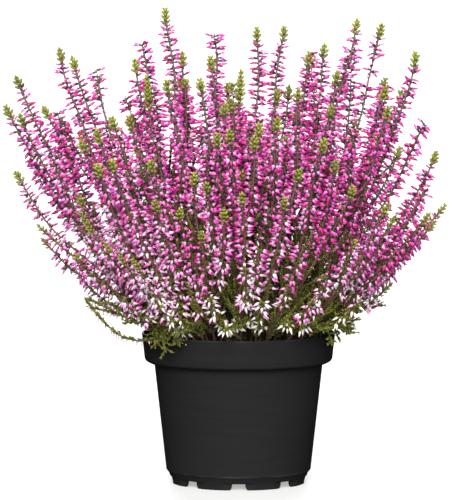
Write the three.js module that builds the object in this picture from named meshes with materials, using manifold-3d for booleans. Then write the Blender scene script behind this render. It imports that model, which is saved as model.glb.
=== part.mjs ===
// A heather (Calluna vulgaris) in a plastic nursery pot. Millimetres, +Z up.
// The origin is on the ground, under the centre of the whole object; the pot stands a little to the right of it,
// because the plant leans further out to the left.
// Every stem stands in a hole of the peat. It is a three-sided tube, and where it flowers, each of its side faces
// is raised into a pointed floret, in whorls of three that turn on up the spike.
import * as THREE from "three";
import { mergeVertices } from "three/addons/utils/BufferGeometryUtils.js";
import Module from "manifold-3d";

const wasm = await Module();
wasm.setup();

// Pot
const POT_OFFSET = 7.8; // the pot's axis, to the right of the object's middle
const POT_HEIGHT = 94;
const RIM_RADIUS = 60.3;
const COLLAR_FOOT_RADIUS = 58.6;
const COLLAR_BOTTOM = 75.6;
const COLLAR_ROUND = 3;
const BODY_TOP_RADIUS = 52.6;
const BODY_FOOT_RADIUS = 45.1;
const BODY_BOTTOM = 8.4;
const CHAMFER_RADIUS = 43.3;
const CHAMFER_BOTTOM = 6;
const FOOT_RADIUS = 42;
const FOOT_EDGE = 1.5; // the upright edge of the foot, under the chamfer
const FOOT_RING_WIDTH = 2.4;
const WALL = 1.2;
const LIP_ROUND = 0.8;
const BASE_UNDERSIDE = 4;
const BASE_THICKNESS = 1.6;
const POT_SIDES = 32;
const NOTCHES = 8;
const NOTCH_WIDTH = 20;
const NOTCH_HEIGHT = 4.6;
const NOTCH_DEPTH = 1.3; // how far the notch is let into the outside of the foot ring
const THROUGH_TOP = 8; // the bell-shaped way through the foot ring, behind each notch
const THROUGH_BOTTOM = 15;
const THROUGH_HEIGHT = 3.8;
const DRAIN_RADIUS = 4;
const DRAIN_CIRCLE = 29;
const SEAT_GAP = 0.3; // between pieces that touch

// Peat
const PEAT_TOP = 88.6;
const ROOT_DEPTH = 8;

// Plant
const STEM_REACH = 50; // the outermost stem on the peat, from the pot's axis
const SPREAD = 4; // how far the stems fan out, as a multiple of their distance from the axis
const SPREAD_HEIGHT = 200; // the height over which the fan opens
const STRAIGHT = 4; // the stems leave the peat upright for this far
const ROOT_COLLAR = 1; // the height of the first bend in a stem's faces above the peat
const SIDE_START = 0.22; // where a side spike leaves its stem, as a share of its own height
const SIDE_BEND = 0.5;
const STEM_SIDES = 3;
const WHORL_TURN = (40 * Math.PI) / 180;
const ROOT_RADIUS = 1.15;
const STEM_RADIUS = 0.95;
const SPIKE_RADIUS = 1.4;
const BARE_STEP = 32;
const BARE_GATHER = 1.6; // the bare part's rings lie closer together near its curved foot
const FLORET_PITCH = 9.3;
const FLORET_REACH = 6;
const FLORET_LIFT = 0.6;
const YOUNG_FLORET = 0.85; // the size of the topmost florets, next to the others
const TIP_STEP = 5;
const TIP_LENGTH = 6;
const POINT_LENGTH = 3;
const TIP_REACH = 2.8;
const TIP_LIFT = 2.6;
const BOW_PLACE = 0.35; // along a spray, from its root to its tip
const TWIGS = [ // the side twigs of a spray: where they leave it, their length as a share of it, and their turn
  { place: 0.42, share: 0.42, turn: 0.8 },
  { place: 0.6, share: 0.34, turn: -0.8 },
];
const TWIG_CURVE = 0.25;
const TWIG_STEP = 6;
const TWIG_REACH = 3.6;
const TWIG_LIFT = 2.8;
const FLOWER_SHARE = 0.72; // how much of its height above the peat a spike flowers over
const FLOWER_LONGEST = 80;
const FLORET_TURN_DRAW = 0.5; // seeded differences between florets
const FLORET_REACH_DRAW = 0.24;
const FLORET_LIFT_DRAW = 3;
const SHORTER = [1, 0.75, 0.5]; // a floret with too little room is made shorter, and left out if that doesn't help
const SAMPLES = 60;
const CLEARANCE = 0.6; // kept between a floret and another stem

// The flowering stems, one line each: the tips of its spikes as [x, y, z] from the pot's axis on the ground, with
// the main spike first. Behind each tip may stand the length of its green end, where it isn't the usual one.
const STEMS = [
  // left edge
  [[-144, -8, 235], [-140, 0, 194]],
  [[-140, 30, 252], [-124, 62, 232], [-124, 20, 151]],
  [[-133, -42, 231], [-97, -45, 182]],
  [[-112, 10, 270], [-105, 45, 264]],
  [[-123, -25, 163], [-100, -10, 130, 0]],
  // left half of the top
  [[-87, -30, 257, 0], [-86, -62, 222]],
  [[-75, -95, 231], [-94, -100, 217]],
  [[-66, -50, 230], [-43, -60, 252]],
  [[-65, 20, 263], [-57, -22, 254, 18]],
  [[-61, 62, 272, 0], [-35, 36, 267]],
  [[-44, -4, 295], [-16, 6, 265]],
  [[-23, -34, 252], [-8, -40, 237]],
  // right half of the top
  [[-15, 58, 278, 0], [-8, 92, 246]],
  [[0, -66, 258, 18], [23, -36, 246]],
  [[-5, -98, 242], [-13, -105, 222]],
  [[12, 10, 283], [28, 48, 283]],
  [[43, -12, 268], [55, 30, 272]],
  [[61, -48, 257], [36, -70, 247]],
  [[72, -5, 288], [90, 22, 285]],
  [[109, -10, 268], [90, -55, 248]],
  [[95, 60, 250], [66, 72, 248]],
  [[89, -90, 237], [111, -75, 227, 0]],
  [[54, -100, 238], [51, -112, 219]],
  // front
  [[-85, -108, 204], [-71, -92, 149]],
  [[-76, -120, 207], [-63, -98, 147], [-50, -88, 122, 0]],
  [[-52, -105, 206], [-49, -120, 183]],
  [[-35, -118, 178], [-23, -118, 165], [-32, -98, 133, 0]],
  [[-27, -112, 199], [-20, -126, 194], [-10, -122, 178], [-17, -90, 124, 0]],
  [[-5, -125, 225], [8, -108, 220]],
  [[23, -100, 231], [13, -90, 227]],
  [[3, -128, 188], [11, -112, 154, 0], [3, -112, 143, 0]],
  [[25, -122, 185], [36, -112, 201], [14, -92, 121, 0]],
  [[59, -105, 206], [66, -112, 191], [45, -86, 122, 0]],
  [[39, -108, 155, 0]],
  [[91, -82, 179], [96, -66, 171], [74, -60, 118, 0]],
  [[-81, -85, 156], [-95, -70, 173, 14], [-70, -78, 122, 0]],
  // right edge
  [[115, -45, 185, 0], [115, -62, 172], [119, -42, 166]],
  [[129, -12, 174], [95, -20, 126]],
  [[125, 30, 205], [120, 58, 178], [98, 25, 130, 0]],
  // back
  [[-100, 85, 215], [-112, 60, 178]],
  [[-70, 110, 225], [-80, 108, 180]],
  [[-40, 126, 208], [-38, 92, 250], [-30, 96, 128, 0]],
  [[0, 130, 214], [-14, 124, 172]],
  [[32, 96, 244], [38, 126, 200]],
  [[78, 104, 216], [60, 120, 172], [52, 84, 126, 0]],
  [[104, 86, 205], [92, 90, 160]],
];

// The leafy sprays at the foot: where each stands on the peat, [x, y], the height of its bow over the rim, and its
// tip as [x, y, z].
const SPRAYS = [
  { root: [-44, -24], bow: 106, tip: [-93, -38, 113] },
  { root: [-40, -28], bow: 105, tip: [-71, -49, 104] },
  { root: [-21, -44], bow: 105, tip: [-38, -70, 98] },
  { root: [-6, -48], bow: 105, tip: [-8, -78, 103] },
  { root: [30, -39], bow: 105, tip: [50, -58, 101] },
  { root: [43, -25], bow: 105, tip: [70, -40, 97] },
  { root: [50, 3], bow: 106, tip: [90, 6, 110] },
  { root: [-7, 48], bow: 106, tip: [-10, 84, 108] },
];

const POT_PLASTIC = 0x1d1d1f;
const PEAT = 0x2e2018;
const DEEP_PINK = 0xb8449a;
const PALE_PINK = 0xe3bcd8;
const LEAF_GREEN = 0x5f7a35;

/** A repeatable source of numbers from 0 to 1. */
function seeded(seed) {
  let state = seed >>> 0;
  return () => {
    state = (state + 0x6d2b79f5) >>> 0;
    let value = Math.imul(state ^ (state >>> 15), state | 1);
    value ^= value + Math.imul(value ^ (value >>> 7), value | 61);
    return ((value ^ (value >>> 14)) >>> 0) / 4294967296;
  };
}

function solidFrom(geometry) {
  const bare = geometry.clone();
  bare.deleteAttribute("normal");
  bare.deleteAttribute("uv");
  const merged = mergeVertices(bare, 1e-4);
  return new wasm.Manifold(new wasm.Mesh({
    numProp: 3,
    vertProperties: new Float32Array(merged.attributes.position.array),
    triVerts: new Uint32Array(merged.index.array),
  }));
}

function geometryFrom(solid) {
  const { vertProperties, triVerts } = solid.getMesh();
  const geometry = new THREE.BufferGeometry();
  geometry.setAttribute("position", new THREE.BufferAttribute(vertProperties, 3));
  geometry.setIndex(new THREE.BufferAttribute(triVerts, 1));
  geometry.computeVertexNormals();
  return geometry;
}

/** A solid turned about Z from a profile of [radius, height] points. */
function turned(profile, sides) {
  const points = profile.map(([radius, height]) => new THREE.Vector2(radius, height));
  return solidFrom(new THREE.LatheGeometry(points, sides).rotateX(Math.PI / 2));
}

/** Points on a quarter circle from one angle to another, as [radius, height]. */
function arc(radius, height, round, from, to, steps) {
  return Array.from({ length: steps + 1 }, (_, step) => {
    const angle = from + ((to - from) * step) / steps;
    return [radius + round * Math.cos(angle), height + round * Math.sin(angle)];
  });
}

// ---- Pot and peat ----

/** The outline of the pot's side, moved inward, with the round of its collar in a number of steps. */
function potProfile(inset, steps) {
  const top = POT_HEIGHT - LIP_ROUND;
  return [
    [BODY_FOOT_RADIUS - inset, BODY_BOTTOM],
    [BODY_TOP_RADIUS - inset, COLLAR_BOTTOM - inset / 2],
    ...arc(COLLAR_FOOT_RADIUS - inset - COLLAR_ROUND, COLLAR_BOTTOM - inset / 2 + COLLAR_ROUND, COLLAR_ROUND,
      -Math.PI / 2, 0, steps),
    [RIM_RADIUS - inset, top],
  ];
}

/** One of the notches of the foot ring, at the +X side, with its bell-shaped way through the ring. */
function notch() {
  const recess = new THREE.BoxGeometry(FOOT_RADIUS, NOTCH_WIDTH, NOTCH_HEIGHT * 2);
  recess.translate(1.5 * FOOT_RADIUS - NOTCH_DEPTH, 0, 0);
  const bell = new THREE.Shape();
  bell.moveTo(-THROUGH_BOTTOM / 2, -1);
  bell.lineTo(THROUGH_BOTTOM / 2, -1);
  bell.quadraticCurveTo(THROUGH_TOP / 2, 0, THROUGH_TOP / 2, THROUGH_HEIGHT);
  bell.lineTo(-THROUGH_TOP / 2, THROUGH_HEIGHT);
  bell.quadraticCurveTo(-THROUGH_TOP / 2, 0, -THROUGH_BOTTOM / 2, -1);
  const depth = 3 * FOOT_RING_WIDTH;
  const through = new THREE.ExtrudeGeometry(bell, { depth, bevelEnabled: false, curveSegments: 3 });
  through.rotateX(Math.PI / 2).rotateZ(Math.PI / 2).translate(FOOT_RADIUS - 2 * FOOT_RING_WIDTH, 0, 0);
  return solidFrom(recess).add(solidFrom(through));
}

function pot() {
  const ringInside = FOOT_RADIUS - FOOT_RING_WIDTH;
  const floor = BASE_UNDERSIDE + BASE_THICKNESS;
  const profile = [
    [0, BASE_UNDERSIDE],
    [ringInside, BASE_UNDERSIDE],
    [ringInside, 0],
    [FOOT_RADIUS, 0],
    [FOOT_RADIUS, FOOT_EDGE],
    [CHAMFER_RADIUS, CHAMFER_BOTTOM],
    ...potProfile(0, 3),
    [RIM_RADIUS - WALL / 4, POT_HEIGHT],
    [RIM_RADIUS - (3 * WALL) / 4, POT_HEIGHT],
    ...potProfile(WALL, 1).reverse(),
    [BODY_FOOT_RADIUS - 2 * WALL, floor],
    [0, floor],
  ];
  const drain = new THREE.CylinderGeometry(DRAIN_RADIUS, DRAIN_RADIUS, 3 * floor, 8).rotateX(Math.PI / 2);
  const cuts = notch().add(solidFrom(drain.translate(DRAIN_CIRCLE, 0, 0)));
  const turns = Array.from({ length: NOTCHES }, (_, turn) => cuts.rotate([0, 0, (turn * 360) / NOTCHES]));
  return turns.reduce((solid, cut) => solid.subtract(cut), turned(profile, POT_SIDES));
}

/** The peat fills the pot to just under the rim, and has a blind hole for each stem. */
function peat(holes) {
  const wall = potProfile(WALL + SEAT_GAP, 1);
  const bottom = BASE_UNDERSIDE + BASE_THICKNESS + SEAT_GAP;
  const [rimRadius] = wall.pop();
  const [collarRadius, collarHeight] = wall[wall.length - 1];
  const share = (PEAT_TOP - collarHeight) / (POT_HEIGHT - collarHeight);
  const profile = [
    [0, bottom],
    [wall[0][0] - WALL, bottom],
    ...wall,
    [collarRadius + (rimRadius - collarRadius) * share, PEAT_TOP],
    [0, PEAT_TOP],
  ];
  return holes.reduce((solid, hole) => solid.subtract(hole), turned(profile, POT_SIDES));
}

// ---- Stems ----

/** How far the fan of stems has opened at a height above the peat. */
function fan(height) {
  return 1 + SPREAD * (1 - Math.exp(-Math.max(0, height - STRAIGHT) / SPREAD_HEIGHT));
}

function smooth(value) {
  const share = Math.min(1, Math.max(0, value));
  return share * share * (3 - 2 * share);
}

/** Where a tip would stand on the peat, if its stem only followed the fan. */
function seatOf(tip) {
  return new THREE.Vector2(tip[0], tip[1]).divideScalar(fan(tip[2] - PEAT_TOP));
}

/** A curve sampled from root to tip, with the distance along it at each sample. */
function centreLine(pointAt) {
  const points = Array.from({ length: SAMPLES + 1 }, (_, step) => pointAt(step / SAMPLES));
  const reach = [0];
  for (let step = 1; step <= SAMPLES; step += 1) {
    reach.push(reach[step - 1] + points[step].distanceTo(points[step - 1]));
  }
  return { points, reach, length: reach[SAMPLES] };
}

function pointOn(line, distance) {
  const wanted = Math.min(line.length, Math.max(0, distance));
  let step = 1;
  while (step < SAMPLES && line.reach[step] < wanted) step += 1;
  const share = (wanted - line.reach[step - 1]) / (line.reach[step] - line.reach[step - 1]);
  return line.points[step - 1].clone().lerp(line.points[step], share);
}

function directionOn(line, distance) {
  return pointOn(line, distance + 1).sub(pointOn(line, distance - 1)).normalize();
}

/** A stem's place at each height above the peat: it follows the fan from its root's seat to its tip's. */
function course(rootSeat, tip, random) {
  const height = tip[2] - PEAT_TOP;
  const tipSeat = seatOf(tip);
  const swayAngle = random() * 2 * Math.PI;
  const sway = (1 + 1.6 * random()) * Math.min(1, height / 100);
  return (up) => {
    const share = Math.min(1, Math.max(0, (up - STRAIGHT) / (height - STRAIGHT)));
    const seat = rootSeat.clone().lerp(tipSeat, smooth(share)).multiplyScalar(fan(up));
    const bow = sway * Math.sin(Math.PI * share);
    return new THREE.Vector3(
      seat.x + bow * Math.cos(swayAngle),
      seat.y + bow * Math.sin(swayAngle),
      PEAT_TOP + up,
    );
  };
}

/** A side spike's place at each height: it starts on the main stem and leaves it for a course of its own. */
function sideCourse(mainCourse, tip, random) {
  const height = tip[2] - PEAT_TOP;
  const start = SIDE_START * height;
  const own = course(seatOf(tip), tip, random);
  return (up) => mainCourse(up).lerp(own(up), smooth((up - start) / (SIDE_BEND * height)));
}

/** The centre line of a course from one height to its tip. */
function courseLine(place, start, tip) {
  const height = tip[2] - PEAT_TOP;
  return centreLine((share) => place(start + (height - start) * share));
}

/** The side directions of a stem at a distance along it: across its lean, and outward. */
function frameOn(line, distance, across) {
  const along = directionOn(line, distance);
  const side = across.clone().addScaledVector(along, -across.dot(along)).normalize();
  return { along, side, out: along.clone().cross(side) };
}

/** The angle of a corner of a ring about its stem. */
function cornerAngle(ring, corner) {
  return ring.turn + (corner * 2 * Math.PI) / STEM_SIDES;
}

function ringPoint(line, ring, across, corner) {
  const { side, out } = frameOn(line, ring.at, across);
  const angle = cornerAngle(ring, corner);
  return pointOn(line, ring.at)
    .addScaledVector(side, ring.radius * Math.cos(angle))
    .addScaledVector(out, ring.radius * Math.sin(angle));
}

/** A tube through the rings, closed at both ends, with some of its side faces raised to a point. */
function raisedTube(line, rings, raised, across, isPointed) {
  const positions = [];
  const triangle = (...corners) => corners.forEach((corner) => positions.push(corner.x, corner.y, corner.z));
  const corners = rings.map((ring) => (
    Array.from({ length: STEM_SIDES }, (_, corner) => ringPoint(line, ring, across, corner))
  ));
  for (let band = 0; band + 1 < rings.length; band += 1) {
    for (let face = 0; face < STEM_SIDES; face += 1) {
      const next = (face + 1) % STEM_SIDES;
      const quad = [corners[band][face], corners[band][next], corners[band + 1][next], corners[band + 1][face]];
      const apex = raised.get(band * STEM_SIDES + face);
      if (apex) {
        quad.forEach((corner, index) => triangle(corner, quad[(index + 1) % 4], apex));
      } else {
        triangle(quad[0], quad[1], quad[2]);
        triangle(quad[0], quad[2], quad[3]);
      }
    }
  }
  const [bottom, top] = [corners[0], corners[corners.length - 1]];
  triangle(bottom[0], bottom[2], bottom[1]);
  if (isPointed) {
    const end = pointOn(line, line.length);
    top.forEach((corner, index) => triangle(corner, top[(index + 1) % STEM_SIDES], end));
  } else {
    triangle(...top);
  }
  const geometry = new THREE.BufferGeometry();
  geometry.setAttribute("position", new THREE.Float32BufferAttribute(positions, 3));
  return solidFrom(geometry);
}

/** The points of a raised face that are tested for room, each with its half thickness. */
function bladePoints(line, rings, band, face, apex, across) {
  const next = (face + 1) % STEM_SIDES;
  const low = ringPoint(line, rings[band], across, face).lerp(ringPoint(line, rings[band], across, next), 0.5);
  const high = ringPoint(line, rings[band + 1], across, face)
    .lerp(ringPoint(line, rings[band + 1], across, next), 0.5);
  const thickness = ((rings[band].radius + rings[band + 1].radius) / 2) * Math.sin(Math.PI / STEM_SIDES);
  const points = [];
  for (const [outward, places] of [[0.25, 4], [0.5, 3], [0.75, 2], [1, 1]]) {
    for (let place = 0; place < places; place += 1) {
      const share = places > 1 ? place / (places - 1) : 0.5;
      points.push({ at: low.clone().lerp(high, share).lerp(apex, outward), radius: thickness * (1 - outward) });
    }
  }
  return points;
}

// Every point that a floret of another stem must stay clear of, kept by cells.
const CELL = 6;
const taken = new Map();
const cellKey = (x, y, z) => `${x},${y},${z}`;
const cellOf = (point) => [point.x, point.y, point.z].map((value) => Math.floor(value / CELL));

function take(points, owner) {
  for (const { at, radius } of points) {
    const key = cellKey(...cellOf(at));
    if (!taken.has(key)) taken.set(key, []);
    taken.get(key).push({ at, radius, owner });
  }
}

function hasRoom(points, owner) {
  return points.every(({ at, radius }) => {
    const fromAxis = Math.hypot(at.x, at.y);
    const overRim = fromAxis > COLLAR_FOOT_RADIUS - 3 && fromAxis < RIM_RADIUS + 1;
    if (fromAxis < RIM_RADIUS + 1 && at.z < (overRim ? POT_HEIGHT : PEAT_TOP) + radius + CLEARANCE) return false;
    const [x, y, z] = cellOf(at);
    for (let dx = -1; dx <= 1; dx += 1) {
      for (let dy = -1; dy <= 1; dy += 1) {
        for (let dz = -1; dz <= 1; dz += 1) {
          for (const other of taken.get(cellKey(x + dx, y + dy, z + dz)) ?? []) {
            if (other.owner === owner) continue;
            if (at.distanceTo(other.at) < radius + other.radius + CLEARANCE) return false;
          }
        }
      }
    }
    return true;
  });
}

/** The rings of a stem: bare below, then one band for each whorl of florets, then the short bands of its end. */
function ringsOf(line, start, flowerLength, tipLength, rootRadius) {
  const tipBands = Math.round(tipLength / TIP_STEP);
  const flowerBands = Math.max(2, Math.round((flowerLength - tipLength) / FLORET_PITCH));
  const tipStart = line.length - POINT_LENGTH - tipBands * TIP_STEP;
  const flowerStart = Math.max(start + FLORET_PITCH / 2, tipStart - flowerBands * FLORET_PITCH);
  const pitch = (tipStart - flowerStart) / flowerBands;
  const rings = start > 0 ? [{ at: 0, radius: rootRadius, turn: 0 }] : [];
  rings.push({ at: start, radius: rootRadius, turn: 0 });
  const bareSteps = Math.max(1, Math.round((flowerStart - start) / BARE_STEP));
  for (let step = 1; step <= bareSteps; step += 1) {
    const share = (step / bareSteps) ** BARE_GATHER;
    const radius = rootRadius + (STEM_RADIUS - rootRadius) * share;
    rings.push({ at: start + (flowerStart - start) * share, radius, turn: 0 });
  }
  const flowers = rings.length - 1;
  for (let band = 1; band <= flowerBands; band += 1) {
    const isLast = band === flowerBands && tipBands === 0;
    const radius = isLast ? STEM_RADIUS : SPIKE_RADIUS;
    rings.push({ at: flowerStart + band * pitch, radius, turn: band * WHORL_TURN });
  }
  const leaves = rings.length - 1;
  for (let band = 1; band <= tipBands; band += 1) {
    const radius = SPIKE_RADIUS + (STEM_RADIUS - SPIKE_RADIUS) * (band / tipBands);
    rings.push({ at: tipStart + band * TIP_STEP, radius, turn: (flowerBands + band) * WHORL_TURN });
  }
  return { rings, flowers, leaves };
}

/** Raises the faces of every band that has flowers or leaves, where there is room. */
function raiseFaces(line, rings, from, owner, across, random, reachOf, liftOf) {
  const raised = new Map();
  for (let band = from; band + 1 < rings.length; band += 1) {
    const middle = (rings[band].at + rings[band + 1].at) / 2;
    const { along, side, out } = frameOn(line, middle, across);
    for (let face = 0; face < STEM_SIDES; face += 1) {
      const faceAngle = (cornerAngle(rings[band], face) + cornerAngle(rings[band + 1], face + 1)) / 2;
      const angle = faceAngle + (random() - 0.5) * FLORET_TURN_DRAW;
      const length = reachOf(band) * (1 + (random() - 0.5) * FLORET_REACH_DRAW);
      const lift = liftOf(band) + (random() - 0.5) * FLORET_LIFT_DRAW;
      for (const share of SHORTER) {
        const apex = pointOn(line, middle)
          .addScaledVector(side, Math.cos(angle) * length * share)
          .addScaledVector(out, Math.sin(angle) * length * share)
          .addScaledVector(along, lift * share);
        const points = bladePoints(line, rings, band, face, apex, across);
        if (hasRoom(points, owner)) {
          raised.set(band * STEM_SIDES + face, apex);
          take(points, owner);
          break;
        }
      }
    }
  }
  return raised;
}

/** Marks the stem itself as taken. */
function takeLine(line, owner) {
  const points = [];
  for (let at = 0; at <= line.length; at += 1.2) points.push({ at: pointOn(line, at), radius: SPIKE_RADIUS });
  take(points, owner);
}

function acrossOf(line) {
  const lean = line.points[SAMPLES].clone().sub(line.points[0]);
  return new THREE.Vector3(-lean.y, lean.x, 0).normalize();
}

/** A hole in the peat that holds a stem's root with a small gap all round. */
function rootHole(line, across) {
  const radius = ROOT_RADIUS + SEAT_GAP / Math.cos(Math.PI / STEM_SIDES);
  const rise = 4;
  const bottom = line.points[0].clone();
  bottom.z -= SEAT_GAP;
  const top = bottom.clone();
  top.z = PEAT_TOP + rise;
  const hole = centreLine((share) => bottom.clone().lerp(top, share));
  const rings = [0, hole.length].map((at) => ({ at, radius, turn: 0 }));
  return raisedTube(hole, rings, new Map(), across, false);
}

/** Plans every flowering stem: the courses of its spikes, all of which start on its main one. */
function planStems() {
  return STEMS.map((tips, index) => {
    const random = seeded(1000 + index);
    const [mainTip, ...sideTips] = tips;
    const mainCourse = course(seatOf(mainTip).clampLength(0, STEM_REACH), mainTip, random);
    const spikes = [{ tip: mainTip, line: courseLine(mainCourse, -ROOT_DEPTH, mainTip), isSide: false }];
    sideTips.forEach((tip) => {
      const line = courseLine(sideCourse(mainCourse, tip, random), SIDE_START * (tip[2] - PEAT_TOP), tip);
      spikes.push({ tip, line, isSide: true });
    });
    spikes.forEach((spike) => { spike.across = acrossOf(spike.line); });
    return { name: `stem_${String(index + 1).padStart(2, "0")}`, spikes, random, owner: index };
  });
}

/** A spray's course: upright out of the peat, over the rim and outward to its tip. */
function sprayLine(spray) {
  const root = new THREE.Vector3(spray.root[0], spray.root[1], PEAT_TOP - ROOT_DEPTH);
  const collar = new THREE.Vector3(spray.root[0], spray.root[1], PEAT_TOP + STRAIGHT);
  const tip = new THREE.Vector3(...spray.tip);
  const over = collar.clone().lerp(tip, BOW_PLACE).setZ(spray.bow);
  const bend = new THREE.QuadraticBezierCurve3(collar, over, tip);
  const upright = (ROOT_DEPTH + STRAIGHT) / (ROOT_DEPTH + STRAIGHT + bend.getLength());
  return centreLine((share) => (share < upright
    ? root.clone().lerp(collar, share / upright)
    : bend.getPointAt((share - upright) / (1 - upright))));
}

/** The side twigs of a spray leave it to the left and right, further and further out. */
function twigLine(parent, from, length, turn) {
  const start = pointOn(parent, from);
  const along = directionOn(parent, from);
  const aside = new THREE.Vector3(-along.y, along.x, 0).normalize();
  const heading = along.clone().addScaledVector(aside, turn).setZ(Math.max(0, along.z) + TWIG_CURVE).normalize();
  return centreLine((share) => start.clone().addScaledVector(heading, length * share)
    .addScaledVector(along, TWIG_CURVE * length * share * share));
}

function planSprays() {
  return SPRAYS.map((spray, index) => {
    const random = seeded(5000 + index);
    const line = sprayLine(spray);
    const lines = [line];
    const leafy = line.length - ROOT_DEPTH - STRAIGHT;
    TWIGS.forEach(({ place, share, turn }) => {
      lines.push(twigLine(line, ROOT_DEPTH + STRAIGHT + leafy * place, leafy * share, turn));
    });
    return { name: `spray_${index + 1}`, lines, random, owner: STEMS.length + index, across: acrossOf(line) };
  });
}

function flowerLengthOf(line, tip, isSide) {
  const height = tip[2] - PEAT_TOP;
  return Math.min(FLOWER_LONGEST, FLOWER_SHARE * height, line.length - (isSide ? ROOT_DEPTH : 0));
}

function stemSolid(stem) {
  const solids = stem.spikes.map(({ line, tip, isSide, across }) => {
    const start = isSide ? 0 : ROOT_DEPTH + ROOT_COLLAR;
    const tipLength = tip[3] ?? TIP_LENGTH;
    const rootRadius = isSide ? STEM_RADIUS : ROOT_RADIUS;
    const length = flowerLengthOf(line, tip, isSide);
    const { rings, flowers, leaves } = ringsOf(line, start, length, tipLength, rootRadius);
    const reachOf = (band) => {
      if (band >= leaves) return TIP_REACH;
      return FLORET_REACH * (band === leaves - 1 ? YOUNG_FLORET : 1);
    };
    const liftOf = (band) => (band < leaves ? FLORET_LIFT : TIP_LIFT);
    const raised = raiseFaces(line, rings, flowers, stem.owner, across, stem.random, reachOf, liftOf);
    return raisedTube(line, rings, raised, across, true);
  });
  return wasm.Manifold.union(solids);
}

function spraySolid(spray) {
  const solids = spray.lines.map((line, order) => {
    const start = order === 0 ? ROOT_DEPTH + ROOT_COLLAR : 0;
    const across = order === 0 ? spray.across : acrossOf(line);
    const radius = order === 0 ? ROOT_RADIUS : STEM_RADIUS;
    const bands = Math.max(2, Math.round((line.length - start - 2) / TWIG_STEP));
    const step = (line.length - start - 2) / bands;
    const rings = order === 0 ? [{ at: 0, radius, turn: 0 }] : [];
    for (let band = 0; band <= bands; band += 1) {
      rings.push({ at: start + band * step, radius, turn: band * WHORL_TURN });
    }
    const raised = raiseFaces(line, rings, order === 0 ? 2 : 1, spray.owner, across, spray.random,
      () => TWIG_REACH, () => TWIG_LIFT);
    return raisedTube(line, rings, raised, across, true);
  });
  return wasm.Manifold.union(solids);
}

// ---- Assembly ----

const plastic = new THREE.MeshStandardMaterial({ color: POT_PLASTIC, roughness: 0.45, metalness: 0 });
const soil = new THREE.MeshStandardMaterial({ color: PEAT, roughness: 1, metalness: 0 });
const foliage = new THREE.MeshStandardMaterial({ color: LEAF_GREEN, roughness: 0.8, metalness: 0 });

/** Spikes low on the plant are paler than those at its top. */
function flowerMaterial(tip) {
  const height = smooth((tip[2] - 140) / 100);
  const color = new THREE.Color(PALE_PINK).lerp(new THREE.Color(DEEP_PINK), height);
  return new THREE.MeshStandardMaterial({ color, roughness: 0.7, metalness: 0 });
}

function meshOf(name, solid, material) {
  const mesh = new THREE.Mesh(geometryFrom(solid), material);
  mesh.name = name;
  return mesh;
}

const stems = planStems();
const sprays = planSprays();
stems.forEach((stem) => stem.spikes.forEach(({ line }) => takeLine(line, stem.owner)));
sprays.forEach((spray) => spray.lines.forEach((line) => takeLine(line, spray.owner)));

const holes = [
  ...stems.map(({ spikes: [main] }) => rootHole(main.line, main.across)),
  ...sprays.map(({ lines, across }) => rootHole(lines[0], across)),
];

const heather = new THREE.Group();
heather.name = "potted_heather";
const planted = new THREE.Group();
planted.position.x = POT_OFFSET;
heather.add(planted);
planted.add(meshOf("pot", pot(), plastic));
planted.add(meshOf("peat", peat(holes), soil));
stems.forEach((stem) => planted.add(meshOf(stem.name, stemSolid(stem), flowerMaterial(stem.spikes[0].tip))));
sprays.forEach((spray) => planted.add(meshOf(spray.name, spraySolid(spray), foliage)));

export default heather;
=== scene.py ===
import math
import random

import bmesh
import bpy
import numpy as np
from mathutils import Matrix, Vector, noise


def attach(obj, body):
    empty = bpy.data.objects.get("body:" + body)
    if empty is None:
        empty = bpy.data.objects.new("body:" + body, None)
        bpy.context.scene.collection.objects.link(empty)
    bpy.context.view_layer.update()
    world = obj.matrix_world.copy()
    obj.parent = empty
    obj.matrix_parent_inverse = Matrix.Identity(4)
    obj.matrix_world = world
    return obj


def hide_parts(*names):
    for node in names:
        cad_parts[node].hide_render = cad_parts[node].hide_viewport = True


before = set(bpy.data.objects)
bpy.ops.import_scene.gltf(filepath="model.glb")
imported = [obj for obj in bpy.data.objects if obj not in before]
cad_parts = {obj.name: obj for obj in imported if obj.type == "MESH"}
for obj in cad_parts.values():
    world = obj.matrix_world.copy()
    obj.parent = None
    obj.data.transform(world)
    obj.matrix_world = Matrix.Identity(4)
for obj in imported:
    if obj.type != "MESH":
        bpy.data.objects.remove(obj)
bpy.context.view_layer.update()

# A heather (Calluna vulgaris) in a plastic nursery pot. Lengths are in millimetres until a mesh is finished,
# places are measured from the pot's axis on the ground, and stems, spikes and sprays are counted from 0.
MM = 0.001
POT_OFFSET = 7.8  # the pot's axis, to the right of the object's middle

# Pot
POT_HEIGHT = 94
RIM_RADIUS = 60.3
COLLAR_FOOT_RADIUS = 58.6
COLLAR_BOTTOM = 75.6
COLLAR_ROUND = 3
BODY_TOP_RADIUS = 52.6
BODY_FOOT_RADIUS = 45.1
BODY_BOTTOM = 8.4
CHAMFER_RADIUS = 43.3
CHAMFER_BOTTOM = 6
FOOT_RADIUS = 42
FOOT_EDGE = 1.5
FOOT_RING_WIDTH = 2.4
WALL = 1.2
LIP_ROUND = 0.6
BASE_UNDERSIDE = 4
BASE_THICKNESS = 1.6
NOTCHES = 8
NOTCH_WIDTH = 20
NOTCH_HEIGHT = 4.6
NOTCH_DEPTH = 1.3
THROUGH_TOP = 8
THROUGH_BOTTOM = 15
THROUGH_HEIGHT = 3.8
DRAIN_RADIUS = 4
DRAIN_CIRCLE = 29
SEAT_GAP = 0.3
POT_STEPS = 160

# Peat
PEAT_TOP = 88.6
PEAT_STEPS = 112
PEAT_RINGS = 44
MOUND_HEIGHT = 4.2
MOUND_FOOT = 59.8  # where the mound starts to rise, from the axis
MOUND_FLAT = 7.8  # within which it is at its full height
CRUMBS = 620
FIBRES = 120
ROOT_DEPTH = 8

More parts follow.
